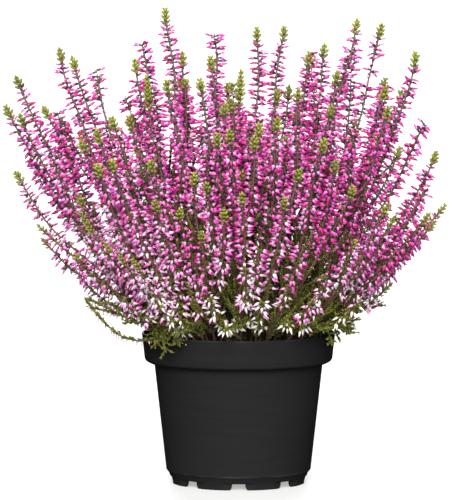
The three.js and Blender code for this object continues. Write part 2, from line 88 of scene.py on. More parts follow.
# The courses of the stems, as their solids have them
STEM_REACH = 50
SPREAD = 4
SPREAD_HEIGHT = 200
STRAIGHT = 4
SIDE_START = 0.22
SIDE_BEND = 0.5
BOW_PLACE = 0.35
TWIG_CURVE = 0.25
# The side twigs of a spray: where each leaves it and how long it is, as shares of the spray, and its turn
TWIGS = [(0.42, 0.42, 0.8), (0.6, 0.34, -0.8)]
FLOWER_SHARE = 0.72
FLOWER_LONGEST = 80
POINT_LENGTH = 3
TIP_LENGTH = 6

# The tips of each stem's spikes, the main one first; a fourth number is the length of its green end
STEMS = [
    [[-144, -8, 235], [-140, 0, 194]], [[-140, 30, 252], [-124, 62, 232], [-124, 20, 151]],
    [[-133, -42, 231], [-97, -45, 182]], [[-112, 10, 270], [-105, 45, 264]],
    [[-123, -25, 163], [-100, -10, 130, 0]], [[-87, -30, 257, 0], [-86, -62, 222]],
    [[-75, -95, 231], [-94, -100, 217]], [[-66, -50, 230], [-43, -60, 252]],
    [[-65, 20, 263], [-57, -22, 254, 18]], [[-61, 62, 272, 0], [-35, 36, 267]],
    [[-44, -4, 295], [-16, 6, 265]], [[-23, -34, 252], [-8, -40, 237]],
    [[-15, 58, 278, 0], [-8, 92, 246]], [[0, -66, 258, 18], [23, -36, 246]],
    [[-5, -98, 242], [-13, -105, 222]], [[12, 10, 283], [28, 48, 283]], [[43, -12, 268], [55, 30, 272]],
    [[61, -48, 257], [36, -70, 247]], [[72, -5, 288], [90, 22, 285]], [[109, -10, 268], [90, -55, 248]],
    [[95, 60, 250], [66, 72, 248]], [[89, -90, 237], [111, -75, 227, 0]],
    [[54, -100, 238], [51, -112, 219]], [[-85, -108, 204], [-71, -92, 149]],
    [[-76, -120, 207], [-63, -98, 147], [-50, -88, 122, 0]], [[-52, -105, 206], [-49, -120, 183]],
    [[-35, -118, 178], [-23, -118, 165], [-32, -98, 133, 0]],
    [[-27, -112, 199], [-20, -126, 194], [-10, -122, 178], [-17, -90, 124, 0]],
    [[-5, -125, 225], [8, -108, 220]], [[23, -100, 231], [13, -90, 227]],
    [[3, -128, 188], [11, -112, 154, 0], [3, -112, 143, 0]],
    [[25, -122, 185], [36, -112, 201], [14, -92, 121, 0]],
    [[59, -105, 206], [66, -112, 191], [45, -86, 122, 0]], [[39, -108, 155, 0]],
    [[91, -82, 179], [96, -66, 171], [74, -60, 118, 0]],
    [[-81, -85, 156], [-95, -70, 173, 14], [-70, -78, 122, 0]],
    [[115, -45, 185, 0], [115, -62, 172], [119, -42, 166]], [[129, -12, 174], [95, -20, 126]],
    [[125, 30, 205], [120, 58, 178], [98, 25, 130, 0]], [[-100, 85, 215], [-112, 60, 178]],
    [[-70, 110, 225], [-80, 108, 180]], [[-40, 126, 208], [-38, 92, 250], [-30, 96, 128, 0]],
    [[0, 130, 214], [-14, 124, 172]], [[32, 96, 244], [38, 126, 200]],
    [[78, 104, 216], [60, 120, 172], [52, 84, 126, 0]], [[104, 86, 205], [92, 90, 160]],
]
# Spikes with few flowers, by stem and spike, and the share of their clusters that they bear
SPARSE = {(5, 0): 0.3, (18, 1): 0.7, (17, 0): 0.8, (4, 0): 0.7, (0, 1): 0.75}
# Spikes that are bare well above the rim, by stem and spike, and the height where their flowers start
BARE_BELOW = {
    (22, 0): 160, (22, 1): 165, (25, 0): 122, (25, 1): 132, (26, 0): 142, (27, 0): 172, (27, 1): 140,
    (28, 0): 142, (28, 1): 172, (29, 0): 154, (29, 1): 168, (30, 0): 150, (31, 1): 152, (32, 0): 148,
    (32, 1): 150, (34, 0): 142, (34, 1): 148,
}
# Extra flowering shoots near the rim, by stem: foot, knee and end, and the share of the shoot that is bare
LOW_SHOOTS = {
    2: [((-70, -24, 125), (-72, -34, 150), (-84, -46, 178), 0.1)],
    4: [((-44, -30, 88), (-62, -38, 112), (-92, -48, 136), 0.28),
        ((-40, -38, 88), (-60, -50, 114), (-82, -58, 150), 0.28)],
    18: [((65, 12, 200), (70, 8, 226), (70, 3, 266), 0.1)],
    24: [((-33, -40, 92), (-42, -54, 104), (-46, -64, 132), 0.12),
         ((-30, -42, 92), (-36, -58, 102), (-36, -68, 130), 0.12)],
    35: [((-57, -56, 120), (-66, -63, 138), (-76, -68, 166), 0.15),
         ((-66, -58, 130), (-80, -61, 138), (-92, -62, 156), 0.15)],
    36: [((63, -25, 110), (72, -34, 128), (84, -46, 160), 0.3)],
    27: [((-3, -46, 89), (-8, -72, 108), (-34, -84, 141), 0.25),
         ((-13, -80, 130), (-22, -85, 133), (-36, -84, 149), 0.62)],
    34: [((36, -40, 89), (48, -62, 112), (52, -78, 136), 0.5)],
}
# The leafy sprays at the foot: root on the peat, height of the bow over the rim, tip
SPRAYS = [
    ([-44, -24], 106, [-93, -38, 113]), ([-40, -28], 105, [-71, -49, 104]),
    ([-21, -44], 105, [-38, -70, 98]), ([-6, -48], 105, [-8, -78, 103]), ([30, -39], 105, [50, -58, 101]),
    ([43, -25], 105, [70, -40, 97]), ([50, 3], 106, [90, 6, 110]), ([-7, 48], 106, [-10, 84, 108]),
]
WHITE_SPRAY = 3  # its own end is white too
# Twigs that end in white buds, by spray: where each leaves it, and its end
WHITE_TWIGS = {
    3: [(0.4, (-1, -68, 104)), (0.55, (8, -66, 107)), (0.3, (17, -66, 103)), (0.2, (14, -58, 113))],
    4: [(0.5, (27, -64, 105)), (0.6, (38, -63, 103)), (0.3, (30, -55, 112))],
}
# Leafy twigs that lie over the rim, by spray: where each leaves it, and its end
HANGING = {
    1: [(0.45, (-51, -46, 88)), (0.3, (-45, -51, 86)), (0.4, (-36, -57, 91)), (0.45, (-50, -45, 96)),
        (0.4, (-46, -49, 92)), (0.3, (-53, -42, 97))],
    4: [(0.2, (48, -56, 108)), (0.3, (56, -50, 112)), (0.4, (52, -54, 99)), (0.3, (44, -54, 97)),
        (0.5, (64, -44, 100))],
    5: [(0.45, (62, -30, 91)), (0.6, (67, -22, 94)), (0.35, (57, -40, 90)), (0.7, (70, -14, 96)),
        (0.3, (62, -44, 106)), (0.4, (68, -36, 112)), (0.5, (74, -28, 104)), (0.2, (56, -46, 100))],
    6: [(0.4, (67, -8, 98)), (0.3, (66, 4, 97)), (0.5, (78, -6, 112))],
}
# The long leafy twig that bows out over the rim at the left, and the spray that it belongs to
LONG_TWIG = [(-36, -30, 88), (-46, -46, 110), (-60, -48, 75), (-78, -46, 98), (-93, -45, 117)]
LONG_TWIG_SPRAY = 1

# Parts of the plant
WHORL_PITCH = 2.6  # between one pair of bud clusters and the next
WHORL_SPLAY = 0.6  # the angle by which pairs turn off the line across the spike, to either side in turn
YOUNG_LENGTH = 9  # of a spike, under its green end, where the buds are smaller and closer
STALK_LENGTH = 1.5
BUD_LENGTH = 5.3
BUD_RADIUS = 1.07
ROOT_RADIUS = 1.0
STEM_RADIUS = 0.7
TOP_RADIUS = 0.55
TWIG_RADIUS = 0.32
LEAF_PITCH = 1.45
LEAF_THICKNESS = 0.6  # as a share of its width
LOBE_PITCH = 1.35
LOBE_LENGTH = 3.0
WANDER = 1.3
MAIN_TWIGS = 34  # tries at a leafy twig on a main spike
SIDE_TWIGS = 12
TWIGS_UP_TO = 192
SHOOTS_PER_QUARTER = 56
TALL_SHOOTS_PER_QUARTER = 11
SHORTEST_SHOOT = 22

# Where a tip counts as at the left, right or front edge, in the middle, low, or far out
LEFT_EDGE = -60
RIGHT_EDGE = 85
FRONT_EDGE = -95
MIDDLE = 70
LOW_TIP = 190
LOW_STEM = 215
FAR_OUT = 105

# Pairs to read between, for what changes over the plant.
# Height and paleness, over the whole plant and in a patch at the left
PALE_BELOW = ((96, 1), (112, 0.64), (130, 0.34), (150, 0.15), (180, 0))
PALE_PATCH = ((105, 0.1), (130, 0.35), (170, 0.34), (200, 0.26), (222, 0))
# Distance from the axis, and the height under which the plant shades itself
SHADE_TOP = ((20, 190), (45, 172), (60, 148), (72, 120), (84, 99), (95, 90))
# Height, and the farthest from the axis that a leafy twig starts, or that a shoot between the spikes ends
TWIG_REACH = ((90, 56), (125, 74), (150, 92), (192, 106))
DOME_REACH = ((100, 65), (125, 90), (150, 115), (175, 125), (200, 133), (235, 137), (255, 133), (270, 107),
              (285, 80))

# Studio, in metres
CAMERA_PLACE = (0, -2.2, 0.31)
CAMERA_AIM = (0, 0, 0.145)
CAMERA_LENS = 255.3
SUN_WIDTH = 32  # degrees: broad suns, for soft shadows
SUNS = [  # the direction each shines from, and its strength
    ("key_light", (-0.08, -1.0, 0.56), 3.5), ("front_light", (0.12, -1.0, 0.08), 1.6),
    ("top_light", (0.15, 0.1, 1.2), 0.9), ("back_light", (0.0, 1.0, 0.35), 2.7),
]
TINY = 1e-6


# ---- Numbers and curves ----

def smooth(value):
    """A share that leaves 0 and comes to 1 softly, for a number or an array."""
    share = np.clip(value, 0, 1)
    share = share * share * (3 - 2 * share)
    return share if np.ndim(share) else float(share)


def rises(value, start, end):
    """A share that leaves 0 at the start and comes to 1 at the end, softly; the end may be the lower one."""
    return smooth((value - start) / (end - start))


def unit(value):
    """A value kept between 0 and 1."""
    return min(1, max(0, value))


def read_off(value, pairs):
    """What the pairs give for a value, with straight lines between them."""
    return float(np.interp(value, *zip(*pairs)))


def towards(one, other, angle):
    """The direction that lies at an angle from one direction towards the other."""
    return one * math.cos(angle) + other * math.sin(angle)


def bent(points, steps):
    """A smooth course from the first point to the last, drawn towards each one between them."""
    share = np.linspace(0, 1, steps)[:, None]
    rows = [np.array(point, float) + 0 * share for point in points]
    while len(rows) > 1:
        rows = [one * (1 - share) + two * share for one, two in zip(rows, rows[1:])]
    return rows[0]


# ---- Camera, light and floor ----

def linear(code):
    """A colour written as sRGB hex, as the linear RGBA that shaders take."""
    parts = [int(code[at:at + 2], 16) / 255 for at in (1, 3, 5)]
    return [part / 12.92 if part <= 0.04045 else ((part + 0.055) / 1.055) ** 2.4 for part in parts] + [1]


def feed(tree, node, inputs):
    """Gives each input its value, or links it to an output, or to the first output of a node."""
    for name, value in inputs.items():
        if isinstance(value, bpy.types.Node):
            value = value.outputs[0]
        if isinstance(value, bpy.types.NodeSocket):
            tree.links.new(value, node.inputs[name])
        else:
            node.inputs[name].default_value = value


def add(tree, kind, inputs=None, stops=(), **settings):
    """Adds a node: its settings, the stops of its ramp, and what its inputs are fed."""
    made = tree.nodes.new("ShaderNode" + kind)
    for name, value in settings.items():
        setattr(made, name, value)
    for at, (place, code) in enumerate(stops):
        elements = made.color_ramp.elements
        stop = elements[at] if at < 2 else elements.new(place)
        stop.position, stop.color = place, linear(code)
    feed(tree, made, inputs or {})
    return made


def material(name, build):
    """A material whose Principled shader is fed by what build adds to its node tree."""
    made = bpy.data.materials.new(name)
    made.use_nodes = True
    build(made.node_tree, made.node_tree.nodes["Principled BSDF"])
    return made


def studio():
    scene = bpy.context.scene
    scene.view_settings.view_transform = "Standard"
    # soft light from in front and above, and little from the sides, from behind or from below
    world = bpy.data.worlds.new("studio_light")
    world.use_nodes = True
    tree = world.node_tree
    where = add(tree, "TexCoord").outputs["Generated"]
    facing = add(tree, "VectorMath", {0: where, 1: (0, -0.8, 0.6)}, operation="DOT_PRODUCT")
    glow = add(tree, "MapRange", {"Value": facing.outputs["Value"], "From Min": -0.1, "From Max": 0.9,
                                  "To Min": 0.05, "To Max": 0.7})
    feed(tree, tree.nodes["Background"], {"Color": (1, 1, 1, 1), "Strength": glow})
    scene.world = world

    lens = bpy.data.cameras.new("camera")
    lens.lens, lens.clip_end = CAMERA_LENS, 500
    camera = bpy.data.objects.new("camera", lens)
    camera.location = CAMERA_PLACE
    camera.rotation_euler = (Vector(CAMERA_AIM) - camera.location).to_track_quat("-Z", "Y").to_euler()
    scene.collection.objects.link(camera)
    scene.camera = camera

    for name, place, power in SUNS:
        light = bpy.data.lights.new(name, "SUN")
        light.angle, light.energy = math.radians(SUN_WIDTH), power
        lamp = bpy.data.objects.new(name, light)
        lamp.location = place
        lamp.rotation_euler = (-Vector(place)).to_track_quat("-Z", "Y").to_euler()
        scene.collection.objects.link(lamp)

    bm = bmesh.new()
    bmesh.ops.create_grid(bm, x_segments=1, y_segments=1, size=200)
    floor = object_of(bm, "floor")

    def painted(tree, shader):
        # a sheet that is also lit from below
        feed(tree, shader, {"Base Color": linear("#C4C4C2"), "Roughness": 0.9,
                            "Emission Color": linear("#FFFFFD"), "Emission Strength": 0.42})
    floor.data.materials.append(material("painted_floor", painted))
    floor.visible_diffuse = floor.visible_glossy = False  # so the floor throws no light back onto the pot


# ---- Materials ----
# The small parts carry a colour attribute. Red runs from a part's foot to its end, green is how pale or young
# it is, and blue is a seeded difference between one part and the next.
TINTS = "growth"


def petals(tree, shader):
    """Papery sepals of a closed bud: near white at the foot, hot pink at the point, softly shiny."""
    growth = add(tree, "Attribute", attribute_name=TINTS)
    split = add(tree, "SeparateColor", {"Color": growth})
    around = add(tree, "SeparateXYZ", {"Vector": add(tree, "UVMap")})
    end, pale, seed = split.outputs
    # where on the ramp the bud's foot and its point lie
    foot = add(tree, "MapRange", {"Value": pale, "To Min": 0.33, "To Max": 0.0})
    white = add(tree, "Math", {0: pale, 1: 1.8}, operation="POWER")
    point = add(tree, "MapRange", {"Value": white, "To Min": 1.0, "To Max": 0.3})
    # the colour gathers towards the point, most of all on pale buds
    bias = add(tree, "MapRange", {"Value": pale, "To Min": 1.15, "To Max": 1.8})
    curve = add(tree, "Math", {0: end, 1: bias}, operation="POWER")
    along = add(tree, "MapRange", {"Value": curve, "From Max": 0.9, "To Min": foot, "To Max": point})
    # one side of each bud is painted paler and the other pinker, at a seeded turn round it: a painted
    # highlight and painted shade
    turn = add(tree, "Math", {0: around.outputs["X"], 1: seed}, operation="ADD")
    radians = add(tree, "Math", {0: turn, 1: 2 * math.pi}, operation="MULTIPLY")
    side = add(tree, "Math", {0: radians}, operation="SINE")
    ramp_place_with_painted_highlight = add(tree, "Math", {0: side, 1: 0.1, 2: along}, operation="MULTIPLY_ADD")
    sepals = add(tree, "ValToRGB", {"Fac": ramp_place_with_painted_highlight}, stops=[
        (0.0, "#D8DFB4"), (1.0, "#A20656"), (0.1, "#F8F6F2"), (0.3, "#F1CEE8"), (0.45, "#EA94CE"),
        (0.6, "#DA50A6"), (0.8, "#C2187C"),
    ])
    # some buds lean to violet
    hue = add(tree, "MapRange", {"Value": seed, "To Min": 0.465, "To Max": 0.516})
    tinted = add(tree, "HueSaturation", {"Color": sepals, "Hue": hue})
    feed(tree, shader, {"Base Color": tinted, "Roughness": 0.42, "IOR": 1.42})


def leaves(tree, shader):
    """Scale leaves with a waxy skin: brown or dark green when old, yellow-green at the growing tips."""
    growth = add(tree, "Attribute", attribute_name=TINTS)
    split = add(tree, "SeparateColor", {"Color": growth})
    end, young, seed = split.outputs
    # a young leaf is painted dark at its foot and bright at its end: painted shade where the leaves crowd
    # together, and painted light at their ends
    painted_foot_shade_and_end_light = add(tree, "Math", {0: end, 1: 0.65}, operation="SUBTRACT")
    square = add(tree, "Math", {0: young, 1: 2}, operation="POWER")
    fresh = add(tree, "Math", {0: painted_foot_shade_and_end_light, 1: square, 2: young}, operation="MULTIPLY_ADD")
    age = add(tree, "ValToRGB", {"Fac": fresh}, stops=[
        (0.0, "#3E281E"), (1.0, "#9CA42C"), (0.13, "#443E1E"), (0.35, "#7A7E36"), (0.7, "#868C28"),
    ])
    differ = add(tree, "MapRange", {"Value": seed, "To Min": 0.75, "To Max": 1.2})
    toned = add(tree, "HueSaturation", {"Color": age, "Value": differ})
    old = add(tree, "Math", {0: 1, 1: young}, operation="SUBTRACT")
    dry = add(tree, "MapRange", {"Value": end, "From Min": 0.72, "From Max": 1.0, "To Max": 0.55})
    withered = add(tree, "Math", {0: dry, 1: old}, operation="MULTIPLY")
    tipped = add(tree, "Mix", {0: withered, 6: toned, 7: linear("#8E6A44")}, data_type="RGBA")
    feed(tree, shader, {"Base Color": tipped.outputs[2], "Roughness": 0.5})


def bracts(tree, shader):
    """The cup of tiny dry bracts that holds a bud, on its short stalk: olive to dark brown."""
    growth = add(tree, "Attribute", attribute_name=TINTS)
    split = add(tree, "SeparateColor", {"Color": growth})
    _, pale, seed = split.outputs
    dark = add(tree, "ValToRGB", {"Fac": seed}, stops=[
        (0.0, "#3A2226"), (1.0, "#62502F"), (0.5, "#4C322D"),
    ])
    green = add(tree, "Mix", {0: pale, 6: dark, 7: linear("#7C8E3C")}, data_type="RGBA")
    feed(tree, shader, {"Base Color": green.outputs[2], "Roughness": 0.7})


def bark(tree, shader):
    """Thin young heather bark: mauve above, dark red-brown at the foot, with fine streaks along it; the near
    black just above the peat is partly painted shade.
    """
    where = add(tree, "TexCoord")
    height = add(tree, "SeparateXYZ", {"Vector": where.outputs["Object"]})
    growth = add(tree, "Attribute", attribute_name=TINTS)
    split = add(tree, "SeparateColor", {"Color": growth})
    green = split.outputs["Green"]
    # darker towards the foot: older bark is red-brown, and the darkest stops, just above the peat, are
    # painted shade
    level = add(tree, "MapRange", {"Value": height.outputs["Z"], "From Min": 0.09, "From Max": 0.24})
    tone = add(tree, "ValToRGB", {"Fac": level}, stops=[
        (0.0, "#2C1C16"), (1.0, "#7A4E66"), (0.1, "#4A2C26"), (0.24, "#6E4038"), (0.45, "#8A4C50"),
        (0.7, "#7C4A5E"),
    ])
    # streaks 0.4 mm wide and 2.5 mm long
    stretched = add(tree, "Mapping", {"Vector": where.outputs["Object"], "Scale": (2500, 2500, 400)})
    streaks = add(tree, "TexNoise", {"Vector": stretched, "Scale": 1.0, "Detail": 2.0})
    share = add(tree, "MapRange", {"Value": streaks, "From Min": 0.45, "From Max": 0.75, "To Max": 0.5})
    light = add(tree, "Mix", {0: share, 6: tone, 7: linear("#A87A72")}, data_type="RGBA")
    soft = add(tree, "Mix", {0: green, 6: light.outputs[2], 7: linear("#4A4320")}, data_type="RGBA")
    feed(tree, shader, {"Base Color": soft.outputs[2], "Roughness": 0.65})


def moulded_plastic(tree, shader):
    """Black polypropylene, injection-moulded: a satin skin with a very fine grain and faint flow marks."""
    where = add(tree, "TexCoord")
    # the grain is drawn 0.7 mm wide, coarser than the real one, so that it shows
    grain = add(tree, "TexNoise", {"Vector": where.outputs["Object"], "Scale": 1400.0, "Detail": 2.0})
    # flow marks lie round the pot: 40 mm long and 3 mm high
    stretched = add(tree, "Mapping", {"Vector": where.outputs["Object"], "Scale": (25, 25, 330)})
    marks = add(tree, "TexNoise", {"Vector": stretched, "Scale": 1.0, "Detail": 3.0})
    tone = add(tree, "ValToRGB", {"Fac": marks}, stops=[(0.3, "#202021"), (0.7, "#232324")])
    # lighter in patches of up to 14 mm: scuffs at the body's foot, and painted highlights under the collar
    # and on the lip
    height = add(tree, "SeparateXYZ", {"Vector": where.outputs["Object"]})
    share = add(tree, "MapRange", {"Value": height.outputs["Z"], "From Max": POT_HEIGHT * MM})
    foot, collar = BODY_BOTTOM / POT_HEIGHT, COLLAR_BOTTOM / POT_HEIGHT
    edges = add(tree, "ValToRGB", {"Fac": share}, stops=[
        (foot - 0.008, "#000000"), (1.0, "#8A8A8A"), (foot, "#B0B0B0"), (foot + 0.006, "#000000"),
        (collar - 0.004, "#000000"), (collar + 0.004, "#5A5A5A"), (collar + 0.03, "#000000"),
        (0.985, "#000000"),
    ])
    scuff_and_highlight_noise = add(tree, "TexNoise", {"Vector": where.outputs["Object"], "Scale": 70.0, "Detail": 6.0})
    scuff_and_highlight_patches = add(tree, "MapRange", {"Value": scuff_and_highlight_noise, "From Min": 0.4, "From Max": 0.75})
    scuffs_and_painted_highlights = add(tree, "Math", {0: edges, 1: scuff_and_highlight_patches}, operation="MULTIPLY")
    skin = add(tree, "Mix", {0: scuffs_and_painted_highlights, 6: tone, 7: linear("#626262")}, data_type="RGBA")
    shine = add(tree, "MapRange", {"Value": marks, "From Min": 0.3, "From Max": 0.7, "To Min": 0.45,
                                   "To Max": 0.51})
    bump = add(tree, "Bump", {"Height": grain, "Strength": 0.12, "Distance": 0.0001})
    feed(tree, shader, {"Base Color": skin.outputs[2], "Roughness": shine, "Normal": bump, "IOR": 1.49,
                        "Specular IOR Level": 0.015})


def peat_crumb(tree, shader):
    """Damp black peat: rough crumbs from 0.5 to 3 mm, brown on top and nearly black in the hollows, which is
    painted shade.
    """
    where = add(tree, "TexCoord")
    crumbs = add(tree, "TexNoise", {"Vector": where.outputs["Object"], "Scale": 450.0, "Detail": 4.0})
    # the colour follows the same noise as the bumps: painted shade in the hollows, brown on top
    tone = add(tree, "ValToRGB", {"Fac": crumbs}, stops=[
        (0.3, "#1C110C"), (0.75, "#63452F"), (0.55, "#3A2418"),
    ])
    bump = add(tree, "Bump", {"Height": crumbs, "Strength": 0.8, "Distance": 0.001})
    feed(tree, shader, {"Base Color": tone, "Normal": bump, "Roughness": 0.95})


BARK = material("heather_bark", bark)
PETAL = material("heather_petal", petals)
BRACT = material("heather_bract", bracts)
LEAF = material("heather_leaf", leaves)
PLASTIC = material("moulded_polypropylene", moulded_plastic)
PEAT = material("crumbly_peat", peat_crumb)
PLANT = [BARK, PETAL, BRACT, LEAF]


# ---- Making pieces ----

class Shape:
    """A closed mesh as arrays; one that is stamped has its foot at 0 and its end at 1 on Z."""

    def __init__(self, bm):
        bmesh.ops.recalc_face_normals(bm, faces=bm.faces)
        bm.verts.index_update()
        self.points = np.array([vert.co for vert in bm.verts])
        self.corners = np.array([loop.vert.index for face in bm.faces for loop in face.loops])
        self.counts = np.array([len(face.verts) for face in bm.faces])
        layer = bm.loops.layers.uv.verify()
        self.uv = np.array([loop[layer].uv for face in bm.faces for loop in face.loops])
        bm.free()
        height = self.points[:, 2]
        self.along = (height - height.min()) / max(TINY, height.max() - height.min())


def round_shape(segments, rings, bend=0.0):
    """A spindle from a ball: rings are its (height, radius) from foot to end."""
    bm = bmesh.new()
    bm.loops.layers.uv.new("UVMap")
    bmesh.ops.create_uvsphere(bm, u_segments=segments, v_segments=len(rings) + 1, radius=1, calc_uvs=True)
    for vert in bm.verts:
        level = round(math.acos(max(-1, min(1, -vert.co.z))) / math.pi * (len(rings) + 1))
        height, radius = ([(0, 0)] + list(rings) + [(1, 0)])[level]
        spread = math.hypot(vert.co.x, vert.co.y)
        scale = radius / spread if spread > TINY else 0
        vert.co = (vert.co.x * scale, vert.co.y * scale - bend * height * height, height)
    return Shape(bm)


def cone_shape(segments, foot, end):
    """A closed cone of length 1, from one radius to another."""
    bm = bmesh.new()
    bmesh.ops.create_cone(bm, cap_ends=True, segments=segments, radius1=foot, radius2=end, depth=1)
    bmesh.ops.remove_doubles(bm, verts=bm.verts, dist=TINY)
    bmesh.ops.translate(bm, verts=bm.verts, vec=(0, 0, 0.5))
    return Shape(bm)


BUD = round_shape(6, [(0.3, 1.0), (0.74, 0.48)], bend=0.1)
CUP = cone_shape(4, 0.38, 1.0)
LOBE = round_shape(5, [(0.3, 0.85), (0.78, 0.8)])
SCALE_LEAF = cone_shape(3, 1.0, 0.0)
CRUMB = round_shape(5, [(0.25, 0.85), (0.75, 0.8)])


class Pieces:
    """Collects stamped shapes, tubes and bodies, and makes one object of them."""

    def __init__(self):
        self.points, self.corners, self.counts, self.uv, self.slots, self.colours = [], [], [], [], [], []
        self.total = 0

    def take(self, points, corners, counts, uv, slot, colours):
        self.points.append(points)
        self.corners.append(corners + self.total)
        self.counts.append(counts)
        self.uv.append(uv)
        self.slots.append(np.full(len(counts), slot))
        self.colours.append(colours)
        self.total += len(points)

    def body(self, bm, slot=0, colour=(0.0, 0.0, 0.0, 0.0)):
        """Takes a whole mesh as it is, in one finish and one colour."""
        shape = Shape(bm)
        self.take(shape.points, shape.corners, shape.counts, shape.uv, slot,
                  np.tile(colour, (len(shape.points), 1)))

    def stamp(self, shape, slot, rows):
        """Stamps a shape for each row: place, way, turn, half width, half depth, length, green, blue."""
        if not rows:
            return
        rows = np.array([[*place, *way, *rest] for place, way, *rest in rows])
        place, way = rows[:, 0:3], rows[:, 3:6]
        turn, width, depth, length, green, blue = rows[:, 6:12].T
        way = way / np.linalg.norm(way, axis=1)[:, None]
        side = np.cross([0.0, 0.0, 1.0], way)
        flat = np.linalg.norm(side, axis=1) < 1e-3
        side[flat] = [1.0, 0.0, 0.0]
        side /= np.linalg.norm(side, axis=1)[:, None]
        up = np.cross(way, side)
        cos, sin = np.cos(turn)[:, None], np.sin(turn)[:, None]
        side, up = side * cos + up * sin, up * cos - side * sin
        x, y, z = shape.points.T
        points = (place[:, None] + side[:, None] * (width[:, None] * x)[..., None]
                  + up[:, None] * (depth[:, None] * y)[..., None]
                  + way[:, None] * (length[:, None] * z)[..., None])
        many, each = len(rows), len(shape.points)
        corners = (shape.corners[None] + np.arange(many)[:, None] * each).ravel()
        colours = np.ones((many, each, 4))
        colours[..., 0] = shape.along
        colours[..., 1], colours[..., 2] = green[:, None], blue[:, None]
        self.take(points.reshape(-1, 3), corners, np.tile(shape.counts, many), np.tile(shape.uv, (many, 1)),
                  slot, colours.reshape(-1, 4))

    def tubes(self, slot, lines, resolution, green, blue):
        """Round tubes with closed ends; a line is its points and the radius at each."""
        if not lines:
            return
        curve = bpy.data.curves.new("tube", "CURVE")
        curve.dimensions, curve.fill_mode = "3D", "FULL"
        curve.bevel_depth, curve.bevel_resolution, curve.use_fill_caps = 1, resolution, True
        for points, radii in lines:
            spline = curve.splines.new("POLY")
            spline.points.add(len(points) - 1)
            spline.points.foreach_set("co", np.column_stack([points, np.ones(len(points))]).ravel())
            spline.points.foreach_set("radius", np.array(radii, float))
        maker = bpy.data.objects.new("tube", curve)
        bpy.context.scene.collection.objects.link(maker)
        mesh = bpy.data.meshes.new_from_object(maker.evaluated_get(bpy.context.evaluated_depsgraph_get()))
        bpy.data.objects.remove(maker)
        bpy.data.curves.remove(curve)
        bm = bmesh.new()
        bm.from_mesh(mesh)
        bpy.data.meshes.remove(mesh)
        bmesh.ops.remove_doubles(bm, verts=bm.verts, dist=1e-4)
        self.body(bm, slot, (0.0, green, blue, 1.0))

    def make(self, name, materials, sharp=None):
        """The finished piece, in metres from the object's own middle, with its object at the origin."""
        points = (np.concatenate(self.points) + [POT_OFFSET, 0, 0]) * MM
        corners, counts = np.concatenate(self.corners), np.concatenate(self.counts)
        mesh = bpy.data.meshes.new(name)
        mesh.vertices.add(len(points))
        mesh.vertices.foreach_set("co", points.ravel())
        mesh.loops.add(len(corners))
        mesh.loops.foreach_set("vertex_index", corners.astype(np.int32))
        mesh.polygons.add(len(counts))
        mesh.polygons.foreach_set("loop_start", (np.cumsum(counts) - counts).astype(np.int32))
        mesh.polygons.foreach_set("material_index", np.concatenate(self.slots).astype(np.int32))
        mesh.update(calc_edges=True)
        mesh.uv_layers.new(name="UVMap").data.foreach_set("uv", np.concatenate(self.uv).ravel())
        layer = mesh.color_attributes.new(TINTS, "FLOAT_COLOR", "POINT")
        layer.data.foreach_set("color", np.concatenate(self.colours).ravel())
        mesh.shade_smooth()
        if sharp:
            mesh.set_sharp_from_angle(angle=math.radians(sharp))
        for item in materials:
            mesh.materials.append(item)
        made = bpy.data.objects.new(name, mesh)
        bpy.context.scene.collection.objects.link(made)
        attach(made, "root")
        return made


# ---- Pot ----

def turned(profile, steps):
    """A bmesh turned about Z from a profile of (radius, height) points."""
    bm = bmesh.new()
    verts = [bm.verts.new((radius, 0, height)) for radius, height in profile]
    edges = [bm.edges.new(pair) for pair in zip(verts, verts[1:])]
    bmesh.ops.spin(bm, geom=verts + edges, cent=(0, 0, 0), axis=(0, 0, 1), dvec=(0, 0, 0),
                   angle=2 * math.pi, steps=steps, use_merge=True, use_duplicate=False)
    bmesh.ops.remove_doubles(bm, verts=bm.verts, dist=1e-4)
    bmesh.ops.recalc_face_normals(bm, faces=bm.faces)
    return bm


def arc(radius, height, round_radius, start, end, steps):
    """Points on an arc about (radius, height), between two angles in degrees."""
    angles = [math.radians(start + (end - start) * step / steps) for step in range(steps + 1)]
    return [(radius + round_radius * math.cos(angle), height + round_radius * math.sin(angle))
            for angle in angles]


def pot_side(inset, steps):
    """The pot's side from its foot to the round of its collar, set in from the outside."""
    collar = COLLAR_BOTTOM - inset / 2
    return [
        (BODY_FOOT_RADIUS - inset, BODY_BOTTOM),
        (BODY_TOP_RADIUS - inset, collar),
        *arc(COLLAR_FOOT_RADIUS - inset - COLLAR_ROUND, collar + COLLAR_ROUND, COLLAR_ROUND, -90, 0, steps),
    ]


def object_of(bm, name):
    mesh = bpy.data.meshes.new(name)
    bm.to_mesh(mesh)
    bm.free()
    made = bpy.data.objects.new(name, mesh)
    bpy.context.scene.collection.objects.link(made)
    return made


def eight_times(bm):
    """Repeats what bm holds round the pot's axis, once for each notch."""
    first = list(bm.verts) + list(bm.edges) + list(bm.faces)
    for turn in range(1, NOTCHES):
        copy = bmesh.ops.duplicate(bm, geom=first)["geom"]
        bmesh.ops.rotate(bm, verts=[item for item in copy if isinstance(item, bmesh.types.BMVert)],
                         cent=(0, 0, 0), matrix=Matrix.Rotation(2 * math.pi * turn / NOTCHES, 3, "Z"))
    bmesh.ops.recalc_face_normals(bm, faces=bm.faces)
    return bm


def notch_recesses():
    bm = bmesh.new()
    bmesh.ops.create_cube(bm, size=1)
    bmesh.ops.scale(bm, verts=bm.verts, vec=(FOOT_RADIUS, NOTCH_WIDTH, NOTCH_HEIGHT * 2))
    bmesh.ops.translate(bm, verts=bm.verts, vec=(1.5 * FOOT_RADIUS - NOTCH_DEPTH, 0, 0))
    return eight_times(bm)


